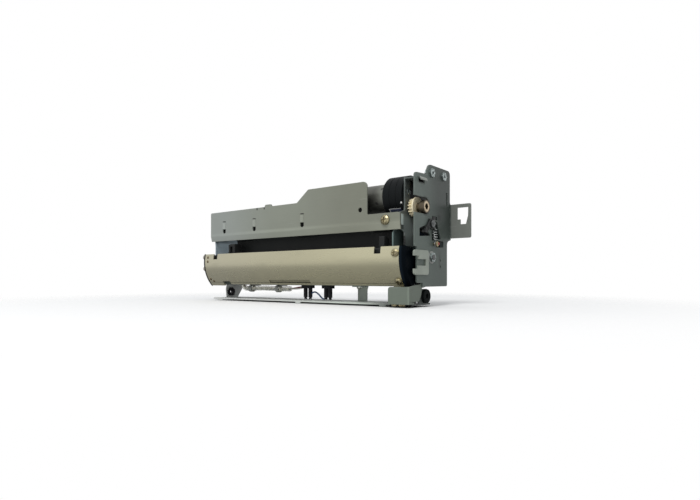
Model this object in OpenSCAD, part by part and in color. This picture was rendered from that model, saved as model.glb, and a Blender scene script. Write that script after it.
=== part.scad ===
// Cash slot shutter unit for a banking machine.
// A curved door turns about a shaft and closes the slot below the front panel. A geared motor on
// the right drives it through a brass pinion, an idler and a toothed sector on the door's end cap.
// X runs along the slot, Y goes from the customer's side to the back, Z is up.
// X = 0 is midway between the side plates, Y = 0 the panel's front face, Z = 0 the base's underside.

/* [Frame] */
// Width over the outer faces of the two side plates
span = 243; // [236:1:260]
// Thickness of the frame's sheet steel
sheet = 1.2; // [1:0.1:1.4]
// Depth from the panel's front face to the back of the fixing ears
depth = 61.5; // [61:0.5:66]
// Height of the right side plate
plate_top = 113.5; // [112:0.5:120]
// Height of the side plates' lower edge above the base
plate_bottom = 15.8; // [15.2:0.2:17]
// Clear width of the gear bay beside the right side plate
gear_bay = 12.1; // [11.8:0.1:14]
// Clear width between the inner plate and the motor bracket
inner_bay = 5.3; // [4.5:0.1:6.5]
// How far the fixing ears stand out from the side plates
ear_w = 18.9; // [18:0.1:24]
// Height of the fixing ears
ear_h = 28.7; // [27:0.1:32]

/* [Door] */
// Height of the door's turning axis above the base
axis_z = 39.3; // [38.8:0.1:40]
// Distance of the door's turning axis behind the panel's face
axis_y = 27.5; // [27:0.1:28.5]
// Outer radius of the curved door
door_r = 35; // [34.4:0.1:35.4]
// Thickness of the door's sheet
door_t = 1.2; // [0.8:0.1:1.4]
// Angle of the door's upper edge above the horizontal when open
lip_deg = 13.2; // [10:0.2:14]
// Angle of the door's lower edge below the horizontal when open
low_deg = 44; // [40:0.5:45]
// How far the door turns to close
close_deg = 25; // [22:0.5:25.5]
// How far the door stands out past the left side plate
door_overhang = 4.5; // [4:0.1:7]
// Thickness of the door's right end cap
cap_w = 6.3; // [5.6:0.1:6.5]
// Diameter of the door's shaft
shaft_d = 6; // [5:0.5:7]
// Width of the notches in the door's upper edge
notch_w = 6.2; // [5.8:0.1:7]

/* [Front panel] */
// Height of the panel's lower edge above the base
panel_z = 60.9; // [60.5:0.1:61.3]
// Height of the panel's left part
panel_h = 29.8; // [29.4:0.1:33]
// How far the raised part of the panel rises above the left part
raise_h = 10.8; // [9:0.1:14]
// Width of the raised part along its top
raise_w = 64.4; // [55:0.1:70]
// Height of the panel's low right end
tail_h = 13.4; // [12.8:0.1:14.5]
// Width of the panel's low right end
tail_w = 31.6; // [28:0.1:33]
// Height of the strip folded back along the panel's lower edge
fold_h = 5; // [4:0.5:6]

/* [Motor] */
// Height of the motor's axis above the base
motor_z = 89; // [88.5:0.1:90]
// Distance of the motor's axis behind the panel's face
motor_y = 21.5; // [21:0.1:23]
// Diameter of the motor's can
can_d = 24.4; // [22:0.1:26]
// Length of the motor's can
can_l = 31; // [26:0.5:36]
// Diameter of the gearbox
box_d = 33.6; // [32.4:0.1:33.9]
// Length of the gearbox
box_l = 18.5; // [15:0.5:21]
// How far the output shaft lies below the gearbox axis
out_drop = 10; // [9.5:0.1:10.5]
// How far the output shaft lies in front of the gearbox axis
out_fore = 4.3; // [3.8:0.1:4.8]

/* [Gears] */
// Module of the gear teeth
tooth_m = 0.8; // [0.8:0.01:0.82]
// Teeth of the brass pinion
pinion_n = 16; // [15:1:17]
// Teeth of the idler
idler_n = 30; // [29:1:32]
// Teeth on a full turn of the door's sector
sector_n = 50; // [49:1:52]
// Width of the gear teeth
gear_w = 4; // [3:0.1:4.4]

/* [Flap] */
// Height of the flap's hinge pin above the base
flap_z = 64; // [63.6:0.1:65]
// Distance of the flap's hinge pin behind the panel's face
flap_y = 16.5; // [15.5:0.1:18]
// Width of the flap
flap_w = 198; // [180:1:200]
// Diameter of the flap's hinge pin
flap_pin_d = 3; // [2.5:0.1:3.5]

/* [Note tray] */
// Height of the tray's upper face above the base
tray_z = 46.5; // [46.4:0.1:47]
// Thickness of the tray's floor
tray_t = 2; // [1.5:0.1:2.2]
// Height of the guide rib that stands behind the door's right notch
rib_h = 9.5; // [7:0.5:10]

/* [Latch lever] */
// Height of the lever's pivot above the base
lever_z = 66; // [65.6:0.1:66.6]
// Distance of the lever's pivot behind the panel's face
lever_y = 26; // [25.6:0.1:26.6]
// Diameter of the lever's pivot pin
lever_pin_d = 4; // [3.5:0.1:4.5]
// Wire thickness of the lever's spring
wire_d = 0.6; // [0.5:0.05:0.7]
// Outer diameter of the lever's spring
coil_d = 4.2; // [3.6:0.1:4.8]
// Turns of the lever's spring
coil_n = 7; // [5:1:7]

/* [Base] */
// Depth of the base plate from front to back
base_d = 32.6; // [31.5:0.1:34]
// Overall height of the base plate's folded edge
base_h = 2.4; // [2.4:0.1:3]
// Distance of the base plate's front edge behind the panel's face
base_y = 0.4; // [0:0.1:0.8]
// Outer diameter of the rubber bushes in the base plate's lugs
bush_d = 11; // [9:0.1:11.4]
// Bore of the rubber bushes
bush_bore = 4.2; // [3.2:0.1:5]
// Height of the bush axis above the base
bush_z = 8.2; // [8.2:0.1:8.8]
// Distance of the bush axis behind the panel's face
bush_y = 22; // [20:0.5:23]

/* [Hidden] */
$fn = 48;

// Clearances
run = 0.05;          // radial running fit of a shaft in its bore
gap = 0.3;           // gap between pieces that pass each other
seat = 0.05;         // gap between a fixed piece and its hole
eps = 0.02;          // overlap of fused shapes
through = 1;         // extra length of a cutting tool

// Planes across the width
right_out = span / 2;
right_in = right_out - sheet;
left_out = -span / 2;
left_in = left_out + sheet;
mb_right = right_in - gear_bay;
mb_left = mb_right - sheet;
ip_right = mb_left - inner_bay;
ip_left = ip_right - sheet;

// Door
door_in_r = door_r - door_t;
door_left = left_out - door_overhang;
cap_clear = 1.9;
cap_out = right_in - cap_clear;
door_right = cap_out - cap_w;
trim_deg = 3.3;
hem_deg = 7.5;
groove_deg = [31.7, 37.3];
groove_deep = 0.5;
groove_x = [-34.5, 16.5];
notch_x = [-108, 92.2];
notch_deep_deg = 9;
end_tab = 10;
left_notch = [22.5, 33.5];
boss_x = door_right - 3.2;
boss_deg = [4.3, -33.5];
rivet_x = door_left + 6;
rivet_deg = [[7.6, 0], [0.6, 0], [-30.3, -1], [-34.5, 2.5]];
hub_r = 9;
bush_wall = 2;
knob_deg = [9, -12];
end_rim = 0.3;
cover_left = door_left + sheet + seat;
low_notch_deg = 9.5;
tray_front = axis_y - sqrt(pow(door_in_r - 2, 2) - pow(tray_z - axis_z, 2));
tray_screw_y = [axis_y - 15.5, axis_y + 10.5];
tray_screw_z = tray_z - 6;
block_x = [-99.5, -90];

// Gear train
pinion_r = tooth_m * pinion_n / 2;
idler_r = tooth_m * idler_n / 2;
sector_r = tooth_m * sector_n / 2;
out_y = motor_y - out_fore;
out_z = motor_z - out_drop;
axis = [axis_y, axis_z];
out_at = [out_y, out_z];
idler_at = meet(axis, out_at, sector_r + idler_r, idler_r + pinion_r);
gear_left = mb_right + 1.2;
pressure = 20;
backlash = 0.24;
addendum = 0.9;
dedendum = 1.25;

// Panel
panel_left = left_out - 3;
panel_right = mb_right + 0.7;
panel_top = panel_z + panel_h;
raise_top = panel_top + raise_h;
raise_end = panel_right - tail_w;
raise_start = raise_end - raise_w;
fold_back = 1.2;
bridge_x = [-102.8, -57.7, 5.5];
bridge_w = 4.5;
top_lug = [-42.8, -33.5];
bridge_z = [panel_z + 7.6, panel_z + 19.6];
panel_lip = panel_z + fold_h;
flange_y = sheet;
flange_z = panel_lip + gap;
screw_x = mb_left - 11.7;
screw_z = panel_z + 7.8;

// Base
base_left = left_out;
lug_right = cap_out - 0.4;
lug_w = 18;
foot_x = [-109, 0, 92];
lug_top = plate_bottom - 1.8;
base_right = lug_right;
base_back = base_y + base_d;
base_step = 3;
channel_z = 16;
channel_y = [8, 44];
upright_x = [[44.5, 54.5]];
corner_left = right_in - 18.8;
corner_front = -6;
corner_top = plate_bottom + 0.1;
corner_screw_x = [corner_left + 3.6, corner_left + 10];
corner_screw_y = -1.5;

// Lever and spring
lever_x = right_out + 0.3;
lever_t = 1.2;
lever_out = lever_x + lever_t;
lever_tip = [lever_y - 9.5, lever_z - 6.4];
post = [lever_y + 5.8, lever_z - 15.8];
hook = [lever_y + 3, lever_z - 2.6];
post_d = 2.4;

// Side plates and ears
ear_z = 56.5;
low_front = 4;
rear_y = depth - 6.9;
louvre_at = [11.4, plate_top - 15];
louvre_w = 9.6;

// Small hardware
tie = [depth - 16.5, flap_z];
tie_d = 7;
boot_y = 10;
boot_x = [[1, 6.8], [25.5, 30.3]];
boot_d = 3.8;
boot_low = 5.2;
fastener_y = [depth - 34.1, depth - 13.7];
fastener_z = plate_top - 6.4;

// Vector helpers
function unit(v) = v / norm(v);
function turn(v, a) = [v[0] * cos(a) - v[1] * sin(a), v[0] * sin(a) + v[1] * cos(a)];
function xy(p) = [p[0], p[1]];

// Point on the door's circle: r from the axis, a degrees above the horizontal on the front side
function on_door(r, a) = axis + r * [-cos(a), sin(a)];

// Third corner of the triangle on a and b, da from a and db from b, on the rear side
function meet(a, b, da, db) =
  let (d = norm(b - a), u = (b - a) / d, s = (da * da - db * db + d * d) / (2 * d))
  a + s * u + sqrt(da * da - s * s) * [u[1], -u[0]];

// Round one corner of an outline
function corner(a, p, b, r, n = 5) =
  r <= 0 ? [p] :
  let (
    u = unit(a - p), v = unit(b - p), h = acos(u * v) / 2,
    c = p + unit(u + v) * r / sin(h),
    s = p + u * r / tan(h) - c,
    w = cross(u, v) > 0 ? -1 : 1
  )
  [for (k = [0:n]) c + turn(s, w * (180 - 2 * h) * k / n)];

// Outline from corners given as [x, y, corner radius]
function outline(p) =
  let (n = len(p))
  [for (i = [0:n - 1])
    each corner(xy(p[(i + n - 1) % n]), xy(p[i]), xy(p[(i + 1) % n]), p[i][2])];

// Rectangle with rounded corners as outline points
function pane(x0, y0, x1, y1, r) =
  outline([[x0, y0, r], [x1, y0, r], [x1, y1, r], [x0, y1, r]]);

// Slabs: a flat shape drawn in (y, z), (x, z) or (x, y) and given a thickness
module slab_x(x0, x1) { translate([x0, 0, 0]) rotate([90, 0, 90]) linear_extrude(x1 - x0) children(); }
module slab_y(y0, y1) { translate([0, y1, 0]) rotate([90, 0, 0]) linear_extrude(y1 - y0) children(); }
module slab_z(z0, z1) { translate([0, 0, z0]) linear_extrude(z1 - z0) children(); }

// Rods along X, Y and Z
module rod_x(at, d, x0, x1) { slab_x(x0, x1) translate(at) circle(d = d); }
module rod_y(at, d, y0, y1) { slab_y(y0, y1) translate(at) circle(d = d); }
module rod_z(at, d, z0, z1) { slab_z(z0, z1) translate(at) circle(d = d); }

module box(a, b) { translate(a) cube(b - a); }

// Sector of a ring about the door's axis, from angle a0 to a1 above the horizontal
module door_band(r0, r1, a0, a1) {
  far = r1 * 2;
  intersection() {
    translate(axis) difference() {
      circle(r = r1, $fn = 96);
      if (r0 > 0) circle(r = r0, $fn = 96);
    }
    polygon([axis, on_door(far, a0), on_door(far, (a0 + a1) / 2), on_door(far, a1)]);
  }
}

// Something made along +Z and turned to point outward from the door's axis
module on_door_skin(x, r, a) {
  translate([x, axis_y, axis_z]) rotate([90 - a, 0, 0]) translate([0, 0, r]) children();
}

// Involute gear outline with its first tooth along +X
function tooth_flank(n, s) =
  let (
    rp = tooth_m * n / 2, rb = rp * cos(pressure), ra = rp + addendum * tooth_m,
    rd = rp - dedendum * tooth_m, lo = max(rb, rd + 0.05),
    half = 90 / n - backlash / 2 / rp * 180 / PI,
    inv_p = tan(pressure) * 180 / PI - pressure
  )
  [for (k = [0:4])
    let (r = lo + (ra - lo) * k / 4, t = acos(min(1, rb / r)), i = tan(t) * 180 / PI - t)
    turn([r, 0], s * (half + inv_p - i))];
function rev(v) = [for (i = [len(v) - 1:-1:0]) v[i]];
function tooth(n) =
  let (
    rd = tooth_m * n / 2 - dedendum * tooth_m,
    low = tooth_flank(n, -1), high = rev(tooth_flank(n, 1)),
    a = atan2(low[0][1], low[0][0])
  )
  concat([turn([rd, 0], a)], low, high, [turn([rd, 0], -a)]);
function gear_points(n, count) =
  [for (k = [0:count - 1]) each [for (p = tooth(n)) turn(p, 360 * k / n)]];

// Gear phases: idler tooth on the line to the door, a door gap there, and the pinion to suit
idler_phase = angle_of(axis - idler_at);
sector_phase = idler_phase + 180 + 180 / sector_n;
to_pinion = angle_of(out_at - idler_at);
idler_step = 360 / idler_n;
idler_part = (idler_phase - to_pinion) / idler_step;
pinion_phase = to_pinion + 180 + (0.5 - idler_part) * 360 / pinion_n;
function angle_of(v) = atan2(v[1], v[0]);

// Tube swept along points, sides round its width
function ring(p, d, w, sides) =
  let (
    t = unit(d), ref = abs(t[2]) > 0.9 ? [0, 1, 0] : [0, 0, 1],
    a = unit(cross(t, ref)), b = cross(t, a)
  )
  [for (k = [0:sides - 1]) p + w / 2 * (cos(360 * k / sides) * a + sin(360 * k / sides) * b)];
module tube(path, w, sides = 8) {
  n = len(path);
  points = [for (i = [0:n - 1])
    each ring(path[i], path[min(n - 1, i + 1)] - path[max(0, i - 1)], w, sides)];
  walls = [for (i = [0:n - 2], k = [0:sides - 1])
    let (a = i * sides + k, b = i * sides + (k + 1) % sides)
    each [[a, b, b + sides], [a, b + sides, a + sides]]];
  ends = [for (k = [1:sides - 2])
    each [[0, k + 1, k], [(n - 1) * sides, (n - 1) * sides + k, (n - 1) * sides + k + 1]]];
  polyhedron(points, [for (f = concat(walls, ends)) [f[0], f[2], f[1]]], convexity = 4);
}

// Smooth curve through hand-picked points
function spline(p, s = 4) =
  let (n = len(p))
  concat([for (i = [0:n - 2], k = [0:s - 1])
    let (
      a = p[max(0, i - 1)], b = p[i], c = p[i + 1], d = p[min(n - 1, i + 2)], t = k / s
    )
    0.5 * (2 * b + (c - a) * t + (2 * a - 5 * b + 4 * c - d) * t * t
      + (3 * b - a - 3 * c + d) * t * t * t)], [p[n - 1]]);

// Pan-head screw standing on Z = 0 with its shank below, cross recess in the head
module pan_screw(head_d, head_h, shank_d, shank_l) {
  difference() {
    union() {
      cylinder(d = head_d, h = head_h * 0.55);
      translate([0, 0, head_h * 0.55]) cylinder(d1 = head_d, d2 = head_d * 0.6, h = head_h * 0.45);
      translate([0, 0, -shank_l]) cylinder(d = shank_d, h = shank_l + eps);
    }
    for (a = [0, 90]) rotate([0, 0, a])
      translate([-head_d * 0.28, -head_d * 0.06, head_h * 0.45])
        cube([head_d * 0.56, head_d * 0.12, head_h]);
  }
}

// Right side plate: outline, U-shaped cut for the drive collar, lever windows and the fixing ear
module right_outline() {
  front = 0.7;
  step_z = 47;
  lobe_z = plate_top - 9.5;
  rear = depth - 1.5;
  polygon(outline([
    [low_front, plate_bottom + 3.1, 1.5], [12.9, plate_bottom + 3.1, 0], [13.3, plate_bottom, 0],
    [rear_y, plate_bottom, 1.5], [rear_y, ear_z - 3, 4], [depth, ear_z - 1.5, 0],
    [depth, ear_z + ear_h, 0], [rear, ear_z + ear_h + 1.5, 0], [rear, plate_top, 3.5],
    [20.8, plate_top, 6], [20, lobe_z + 1, 0.6], [front, lobe_z, 3],
    [front, step_z, 0.5], [low_front, step_z, 0]
  ]));
}
module keyhole(x, z) {
  polygon([
    [x - 5, z + 10], [x + 5, z + 10], [x + 4.8, z + 3], [x + 3, z - 4.1],
    [x - 2.2, z - 4.1], [x - 2.2, z], [x - 5, z]
  ]);
}
module ear(side) {
  x0 = side > 0 ? right_in : left_in - ear_w - sheet;
  x1 = side > 0 ? right_out + ear_w : left_in;
  slab_y(depth - sheet, depth) difference() {
    polygon(pane(x0, ear_z, x1, ear_z + ear_h, 1.2));
    keyhole(side * (right_out + ear_w - 7.3), ear_z + 15.7);
  }
}
module louvre() {
  translate([right_out - sheet / 2, louvre_at[0], louvre_at[1]]) rotate([90, 0, 0])
    linear_extrude(louvre_w, center = true) intersection() {
      difference() {
        circle(r = 3.3);
        circle(r = 2.4);
      }
      translate([-sheet / 2, 0]) square([5, 5]);
    }
}
module lever_windows() {
  translate([lever_y, lever_z]) {
    polygon([[-18, -10.8], [-18, -4.6], [-8.5, -1.4], [-0.5, -9.4]]);
    polygon([
      [2, -5.6], [4.6, -2.6], [7, 2.2], [11, 2.2], [17.5, -11.4], [8, -11.4], [7.4, -13], [2.2, -13]
    ]);
    polygon(pane(8.2, -18.1, 22.2, -12.8, 0.5));
    polygon(pane(2.2, 3.7, 10.8, 6.6, 0.5));
  }
}
module side_plate_right() {
  color("#7f8682") {
    difference() {
      union() {
        slab_x(right_in, right_out) right_outline();
        ear(1);
      }
      slab_x(right_in - through, right_out + through) {
        translate([0, 0.7]) {
          translate(out_at) circle(r = 6.5);
          translate([-5, out_z - 6.5]) square([out_y + 5, 13]);
        }
        translate(louvre_at - [louvre_w / 2, 1.2]) square([louvre_w, 3.4]);
        lever_windows();
        translate(axis) circle(d = shaft_d + 2 * bush_wall);
        translate([lever_y, lever_z]) circle(d = lever_pin_d - 1);
        for (y = fastener_y) translate([y, fastener_z]) circle(d = 4.2);
      }
      slab_x(right_out - 0.6, right_out + through) translate([depth - 7.7, 83.5])
        polygon(pane(-1.6, 0, 1.6, 11, 0.9));
      for (z = [36.8, 31.8]) rod_x([42.5, z], 2.6, right_out - 0.5, right_out + through);
    }
    louvre();
  }
}

// Left side plate: carries the door's shaft, the flap pin, the panel's left end and the left ear
module side_plate_left() {
  rear = rear_y;
  top = panel_top - 2.8;
  color("#8b918e") {
    difference() {
      slab_x(left_out, left_in) polygon(outline([
        [3.5, plate_bottom + 3, 2], [14, plate_bottom, 1], [rear, plate_bottom, 2],
        [rear, ear_z - 3, 3], [depth, ear_z - 1.5, 0], [depth, ear_z + ear_h, 0],
        [rear, ear_z + ear_h + 0.5, 0], [rear - 2, top, 3], [flange_y, top, 0],
        [flange_y, flange_z, 0], [fold_back + 2, panel_z, 0], [fold_back + 2, panel_z - 2, 0],
        [3.5, panel_z - 4, 0]
      ]));
      slab_x(left_out - through, left_in + through) {
        translate(axis) circle(d = shaft_d + 2 * bush_wall);
        translate([flap_y, flap_z]) circle(d = flap_pin_d + 2 * seat);
        translate(tie) circle(d = 3.2);
        for (y = tray_screw_y) translate([y, tray_screw_z]) circle(d = 2.6);
      }
    }
    ear(-1);
    slab_y(flange_y, flange_y + sheet)
      polygon(pane(left_out, flange_z, left_in + 11, top, 1));
  }
}

// Inner plate: the right end of the note path, with a flange that reaches the right side plate
module inner_plate() {
  flange = [depth - 9.5, depth - 9.5 + sheet];
  top = flap_z + 4.5;
  color("#4c5553") {
    difference() {
      slab_x(ip_left, ip_right) polygon(outline([
        [1.5, channel_z + 6, 2], [8, channel_z, 1], [flange[1], channel_z, 0],
        [flange[1], top - 2.5, 0], [flange[1] - 13, top, 3], [8, top, 2],
        [fold_back + 2, panel_z + 3, 0.5], [fold_back + 2, panel_z - 0.6, 0.5],
        [1.5, panel_z - 2.5, 0.5]
      ]));
      slab_x(ip_left - through, ip_right + through) {
        translate(axis) circle(d = shaft_d + 2);
        translate([flap_y, flap_z]) circle(d = flap_pin_d + 2 * seat);
        translate(tie) circle(d = 3.2);
        for (y = tray_screw_y) translate([y, tray_screw_z]) circle(d = 2.6);
      }
    }
    slab_y(flange[0], flange[1])
      polygon(pane(ip_left, channel_z + 8, right_in, top, 1));
    slab_x(right_in - sheet, right_in)
      polygon(pane(flange[0] - 7, channel_z + 11, flange[1], top - 8.5, 1));
  }
}

// Motor bracket: upright plate with a front flange for the panel and a top web to the side plate
module motor_bracket() {
  front = 8.6;
  rear = depth - 11.5;
  low = tray_z + 1.5;
  step = flap_z + 4.8;
  web_z = [plate_top - 12.4, plate_top - 12.4 + sheet];
  color("#7c8582") {
    difference() {
      slab_x(mb_left, mb_right) polygon(outline([
        [8, low, 1], [21, low, 1], [21, low + 10, 2], [rear, low + 12, 2], [rear, step, 0],
        [rear + 11, step, 1], [rear + 11, web_z[1], 0],
        [front, web_z[1], 0], [front, panel_z + tail_h + 2.2, 1], [flange_y, panel_z + tail_h, 1],
        [flange_y, flange_z, 0],
        [fold_back + 2, panel_z, 0], [8, panel_z - 2, 0]
      ]));
      slab_x(mb_left - through, mb_right + through) {
        translate(out_at) circle(d = 10);
        translate(idler_at) circle(d = 3);
        for (p = gearbox_screw_at()) translate(p) circle(d = 3.2);
      }
    }
    difference() {
      slab_y(flange_y, flange_y + sheet)
        polygon(pane(mb_left - 22, flange_z, mb_right, panel_z + tail_h, 1));
      rod_y([screw_x, screw_z], 3.4, 0, 5);
    }
    slab_z(web_z[0], web_z[1]) polygon(pane(mb_left, front, right_in, rear, 1));
    difference() {
      slab_x(right_in - sheet, right_in)
        polygon(pane(fastener_y[0] - 4.7, web_z[0], fastener_y[1] + 5, plate_top - 1.5, 4));
      for (y = fastener_y) rod_x([y, fastener_z], 4.2, right_in - 5, right_in + 5);
    }
  }
}
function gearbox_screw_at() =
  [for (a = [162.7, 342.7]) motor_at + 8.1 * [cos(a), sin(a)]];

// Front panel: sheet with a raised part, a low right end and a strip folded back along its lip
module front_panel() {
  color("#9aa19b") {
    difference() {
      slab_y(0, sheet) polygon(outline([
        [panel_left, panel_lip - eps, 0], [panel_right, panel_lip - eps, 0],
        [panel_right, panel_z + tail_h, 2.5],
        [raise_end, panel_z + tail_h, 1], [raise_end, raise_top, 4], [raise_start, raise_top, 3],
        [raise_start - 13.8, panel_top, 2], [panel_left, panel_top, 1.5]
      ]));
      rod_y([raise_end - 7, panel_z + 17.7], 4, -through, sheet + through);
      rod_y([screw_x, screw_z], 4.3, -through, sheet + through);
      for (x = bridge_x) {
        slab_y(-through, sheet + through)
          polygon(pane(x - bridge_w / 2, bridge_z[0], x + bridge_w / 2, bridge_z[0] + 6, 1.8));
        slab_y(-through, sheet + through)
          polygon(pane(x - bridge_w / 2, bridge_z[1] - 0.7, x + bridge_w / 2, bridge_z[1], 0));
      }
      for (x = [-53.5, -43.5])
        box([x - 0.5, -through, panel_top - 1.6], [x + 0.5, sheet + through, panel_top + through]);
    }
    for (x = bridge_x) intersection() {
      translate([x, sheet / 2, bridge_z[0] + 4.2]) scale([1, 0.8, 1])
        cylinder(d = bridge_w + 0.2, h = bridge_z[1] - bridge_z[0] - 4.9);
      box([x - bridge_w, -4, bridge_z[0]], [x + bridge_w, sheet, bridge_z[1]]);
    }
    slab_x(panel_left, panel_right)
      polygon([[0, panel_lip], [sheet, panel_lip], [fold_back + sheet, panel_z], [fold_back, panel_z]]);
    slab_y(0, sheet) polygon(pane(top_lug[0], panel_top - 3, top_lug[1], panel_top + 2, 1.8));
  }
}

// Base plate: folded edges, two upturned lugs for the rubber bushes and two uprights
module base_plate() {
  top = base_h;
  floor_z = base_h - sheet;
  flare = 1.3;
  color("#99a09a") {
    difference() {
      union() {
        slab_z(floor_z, top) polygon(pane(base_left, base_y, base_right, base_back, 2));
        box([base_left + 4, base_back - sheet, 0], [corner_left - 4, base_back, floor_z + eps]);
        for (x = foot_x) box([x - 3, base_y, 0], [x + 3, base_y + sheet, floor_z + eps]);
        slab_x(base_right - sheet, base_right) polygon(outline([
          [bush_y - lug_w / 2, floor_z, 0], [bush_y + lug_w / 2 - 4, floor_z, 0],
          [bush_y + lug_w / 2 - 1, bush_z, 2], [bush_y + 5, lug_top, 3], [bush_y - 5, lug_top, 3],
          [bush_y - lug_w / 2, bush_z, 2]
        ]));
        slab_x(left_in, left_in + sheet) polygon(outline([
          [bush_y - 5, floor_z, 0], [base_back - 2, floor_z, 0], [bush_y + lug_w - 2, bush_z + 3, 2],
          [bush_y + lug_w - 2, 27, 3], [bush_y - 2, 27, 3], [bush_y - 6, bush_z + 3, 2]
        ]));
        for (u = upright_x) {
          slab_y(base_back - sheet, base_back) polygon([
            [u[0], floor_z], [u[1], floor_z], [u[1], channel_z - 4], [u[1] + flare, channel_z],
            [u[0] - flare, channel_z], [u[0], channel_z - 4]
          ]);
          slab_z(channel_z - sheet, channel_z)
            polygon(pane(u[0], base_back - 10, u[1], base_back, 0.6));
        }
      }
      box([corner_left - 2, base_y - through, -through],
        [base_right + through, base_step, base_h + through]);
      for (x = [base_right, left_in]) rod_x([bush_y, bush_z], bush_seat_d, x - 2, x + 2);
      for (u = upright_x) rod_z([(u[0] + u[1]) / 2, base_back - 5.5], 3.2, 10, 20);
    }
  }
}
bush_seat_d = bush_bore + 3.2;

// Lower channel: ties the left plate and the inner plate below the door's shaft
module lower_channel() {
  x0 = left_in + sheet;
  x1 = ip_left;
  color("#7d8481") {
    difference() {
      slab_z(channel_z, channel_z + sheet) polygon(pane(x0, channel_y[0], x1, channel_y[1], 1));
      for (u = upright_x) rod_z([(u[0] + u[1]) / 2, base_back - 5.5], 2.6, 10, 20);
      rod_z([sleeve_path[0][0], sleeve_path[0][1]], sleeve_d + 2.4, 10, 20);
    }
    slab_y(channel_y[0], channel_y[0] + sheet) polygon(pane(x0, channel_z, x1, channel_z + 7, 1));
    slab_y(channel_y[1] - sheet, channel_y[1]) polygon(pane(x0, channel_z, x1, channel_z + 12, 1));
    for (x = [x0, x1 - sheet]) slab_x(x, x + sheet)
      polygon(pane(channel_y[0], channel_z, channel_y[1], channel_z + 11, 1));
  }
}

// Round tie rod between the left plate and the inner plate
module tie_rod() {
  color("#b9bcbb") difference() {
    rod_x(tie, tie_d, left_in, ip_left);
    rod_x(tie, 2.6, left_in - through, left_in + 8);
    rod_x(tie, 2.6, ip_left - 8, ip_left + through);
  }
}
module tie_screws() {
  color("#c9c2a4") {
    translate([left_out, tie[0], tie[1]]) rotate([0, -90, 0]) pan_screw(6, 2, 2.5, 8);
    translate([ip_right, tie[0], tie[1]]) rotate([0, 90, 0]) pan_screw(6, 2, 2.5, 8);
  }
}

// Corner bracket: joins the base plate to the right side plate at the front
module corner_bracket() {
  z0 = base_h;
  rise = plate_bottom + 8.2;
  color("#97a09a") {
    slab_y(corner_front, corner_front + sheet)
      polygon(outline([
        [corner_left, z0, 2.2], [right_in, z0, 0], [right_in, corner_top, 0],
        [corner_left, corner_top, 2.2]
      ]));
    slab_x(right_in - sheet, right_in) polygon(outline([
      [corner_front, corner_top - 12, 0], [9, corner_top - 11.5, 2], [12.5, corner_top - 7, 2],
      [14, corner_top - 1, 1], [21, plate_bottom, 2], [21, rise, 2], [14, rise, 2],
      [13, corner_top + 2, 0.5], [corner_front, corner_top, 0]
    ]));
    difference() {
      union() {
        slab_z(z0, z0 + sheet)
          polygon(pane(corner_left, corner_front, right_in, base_step - gap, 0.8));
        slab_z(z0, z0 + sheet)
          polygon(pane(corner_left, corner_front, base_right - sheet - 5, bush_y - 2, 0.8));
      }
      for (x = corner_screw_x) rod_z([x, corner_screw_y], 3.2, 0, 8);
    }
  }
}
module corner_screws() {
  color("#d8cf9c") for (x = corner_screw_x) {
    translate([x, corner_screw_y, base_h]) rotate([180, 0, 0]) pan_screw(5.6, 2.2, 3, 5.2);
    translate([x, corner_screw_y, base_h + sheet]) difference() {
      cylinder(d = 6, h = 2.4, $fn = 6);
      translate([0, 0, -through]) cylinder(d = 3 + 2 * seat, h = 5);
    }
  }
}

// Note tray: black moulded floor of the note path with its guide rib and block
module note_tray() {
  x0 = left_in + gap;
  x1 = ip_left - gap;
  wall = 2.4;
  floor_z = tray_z - tray_t;
  rear = depth - 15.5;
  rib = tray_front + 2.6;
  block = [tray_front + 6.4, tray_front + 14.4];
  color("#1c1e20") {
    difference() {
      union() {
        slab_x(x0, x1) polygon([
          [tray_front, tray_z - 5], [tray_front + 1.8, tray_z - 5], [tray_front + 2.2, floor_z],
          [rear, floor_z], [rear, tray_z], [tray_front + 0.8, tray_z], [tray_front, tray_z - 1]
        ]);
        for (x = [x0, x1 - wall], y = tray_screw_y) slab_x(x, x + wall) polygon(outline([
          [y - 6, floor_z + eps, 0], [y - 6, tray_screw_z - 4, 3],
          [y + 6, tray_screw_z - 4, 3], [y + 7, floor_z + eps, 0]
        ]));
        slab_x(notch_x[1] - 2.5, notch_x[1] + 2.5) polygon(outline([
          [rib, tray_z - 1, 0], [rib + 8.8, tray_z - 1, 0], [rib + 6.8, tray_z + rib_h - 2, 1],
          [rib + 3.8, tray_z + rib_h, 1], [rib + 0.2, tray_z + rib_h, 0.8]
        ]));
        slab_x(block_x[0], block_x[1]) polygon(outline([
          [block[0], tray_z - 1, 0], [block[1], tray_z - 1, 0],
          [block[1], tray_z + rib_h + 1.5, 1], [block[0], tray_z + rib_h + 1.5, 1]
        ]));
      }
      for (x = [x0, x1 - wall], y = tray_screw_y)
        rod_x([y, tray_screw_z], 2.2, x - through, x + wall + through);
      box([block_x[0] + 2.5, block[0] - through, tray_z + 2],
        [block_x[0] + 6, block[0] + 3, tray_z + rib_h - 1]);
    }
  }
}
module tray_screws() {
  reach = sheet + gap + 2.4;
  color("#c9c2a4") for (y = tray_screw_y) {
    translate([left_out, y, tray_screw_z]) rotate([0, -90, 0]) pan_screw(4.6, 1.6, 2.1, reach);
    translate([ip_right, y, tray_screw_z]) rotate([0, 90, 0]) pan_screw(4.6, 1.6, 2.1, reach);
  }
}

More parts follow.
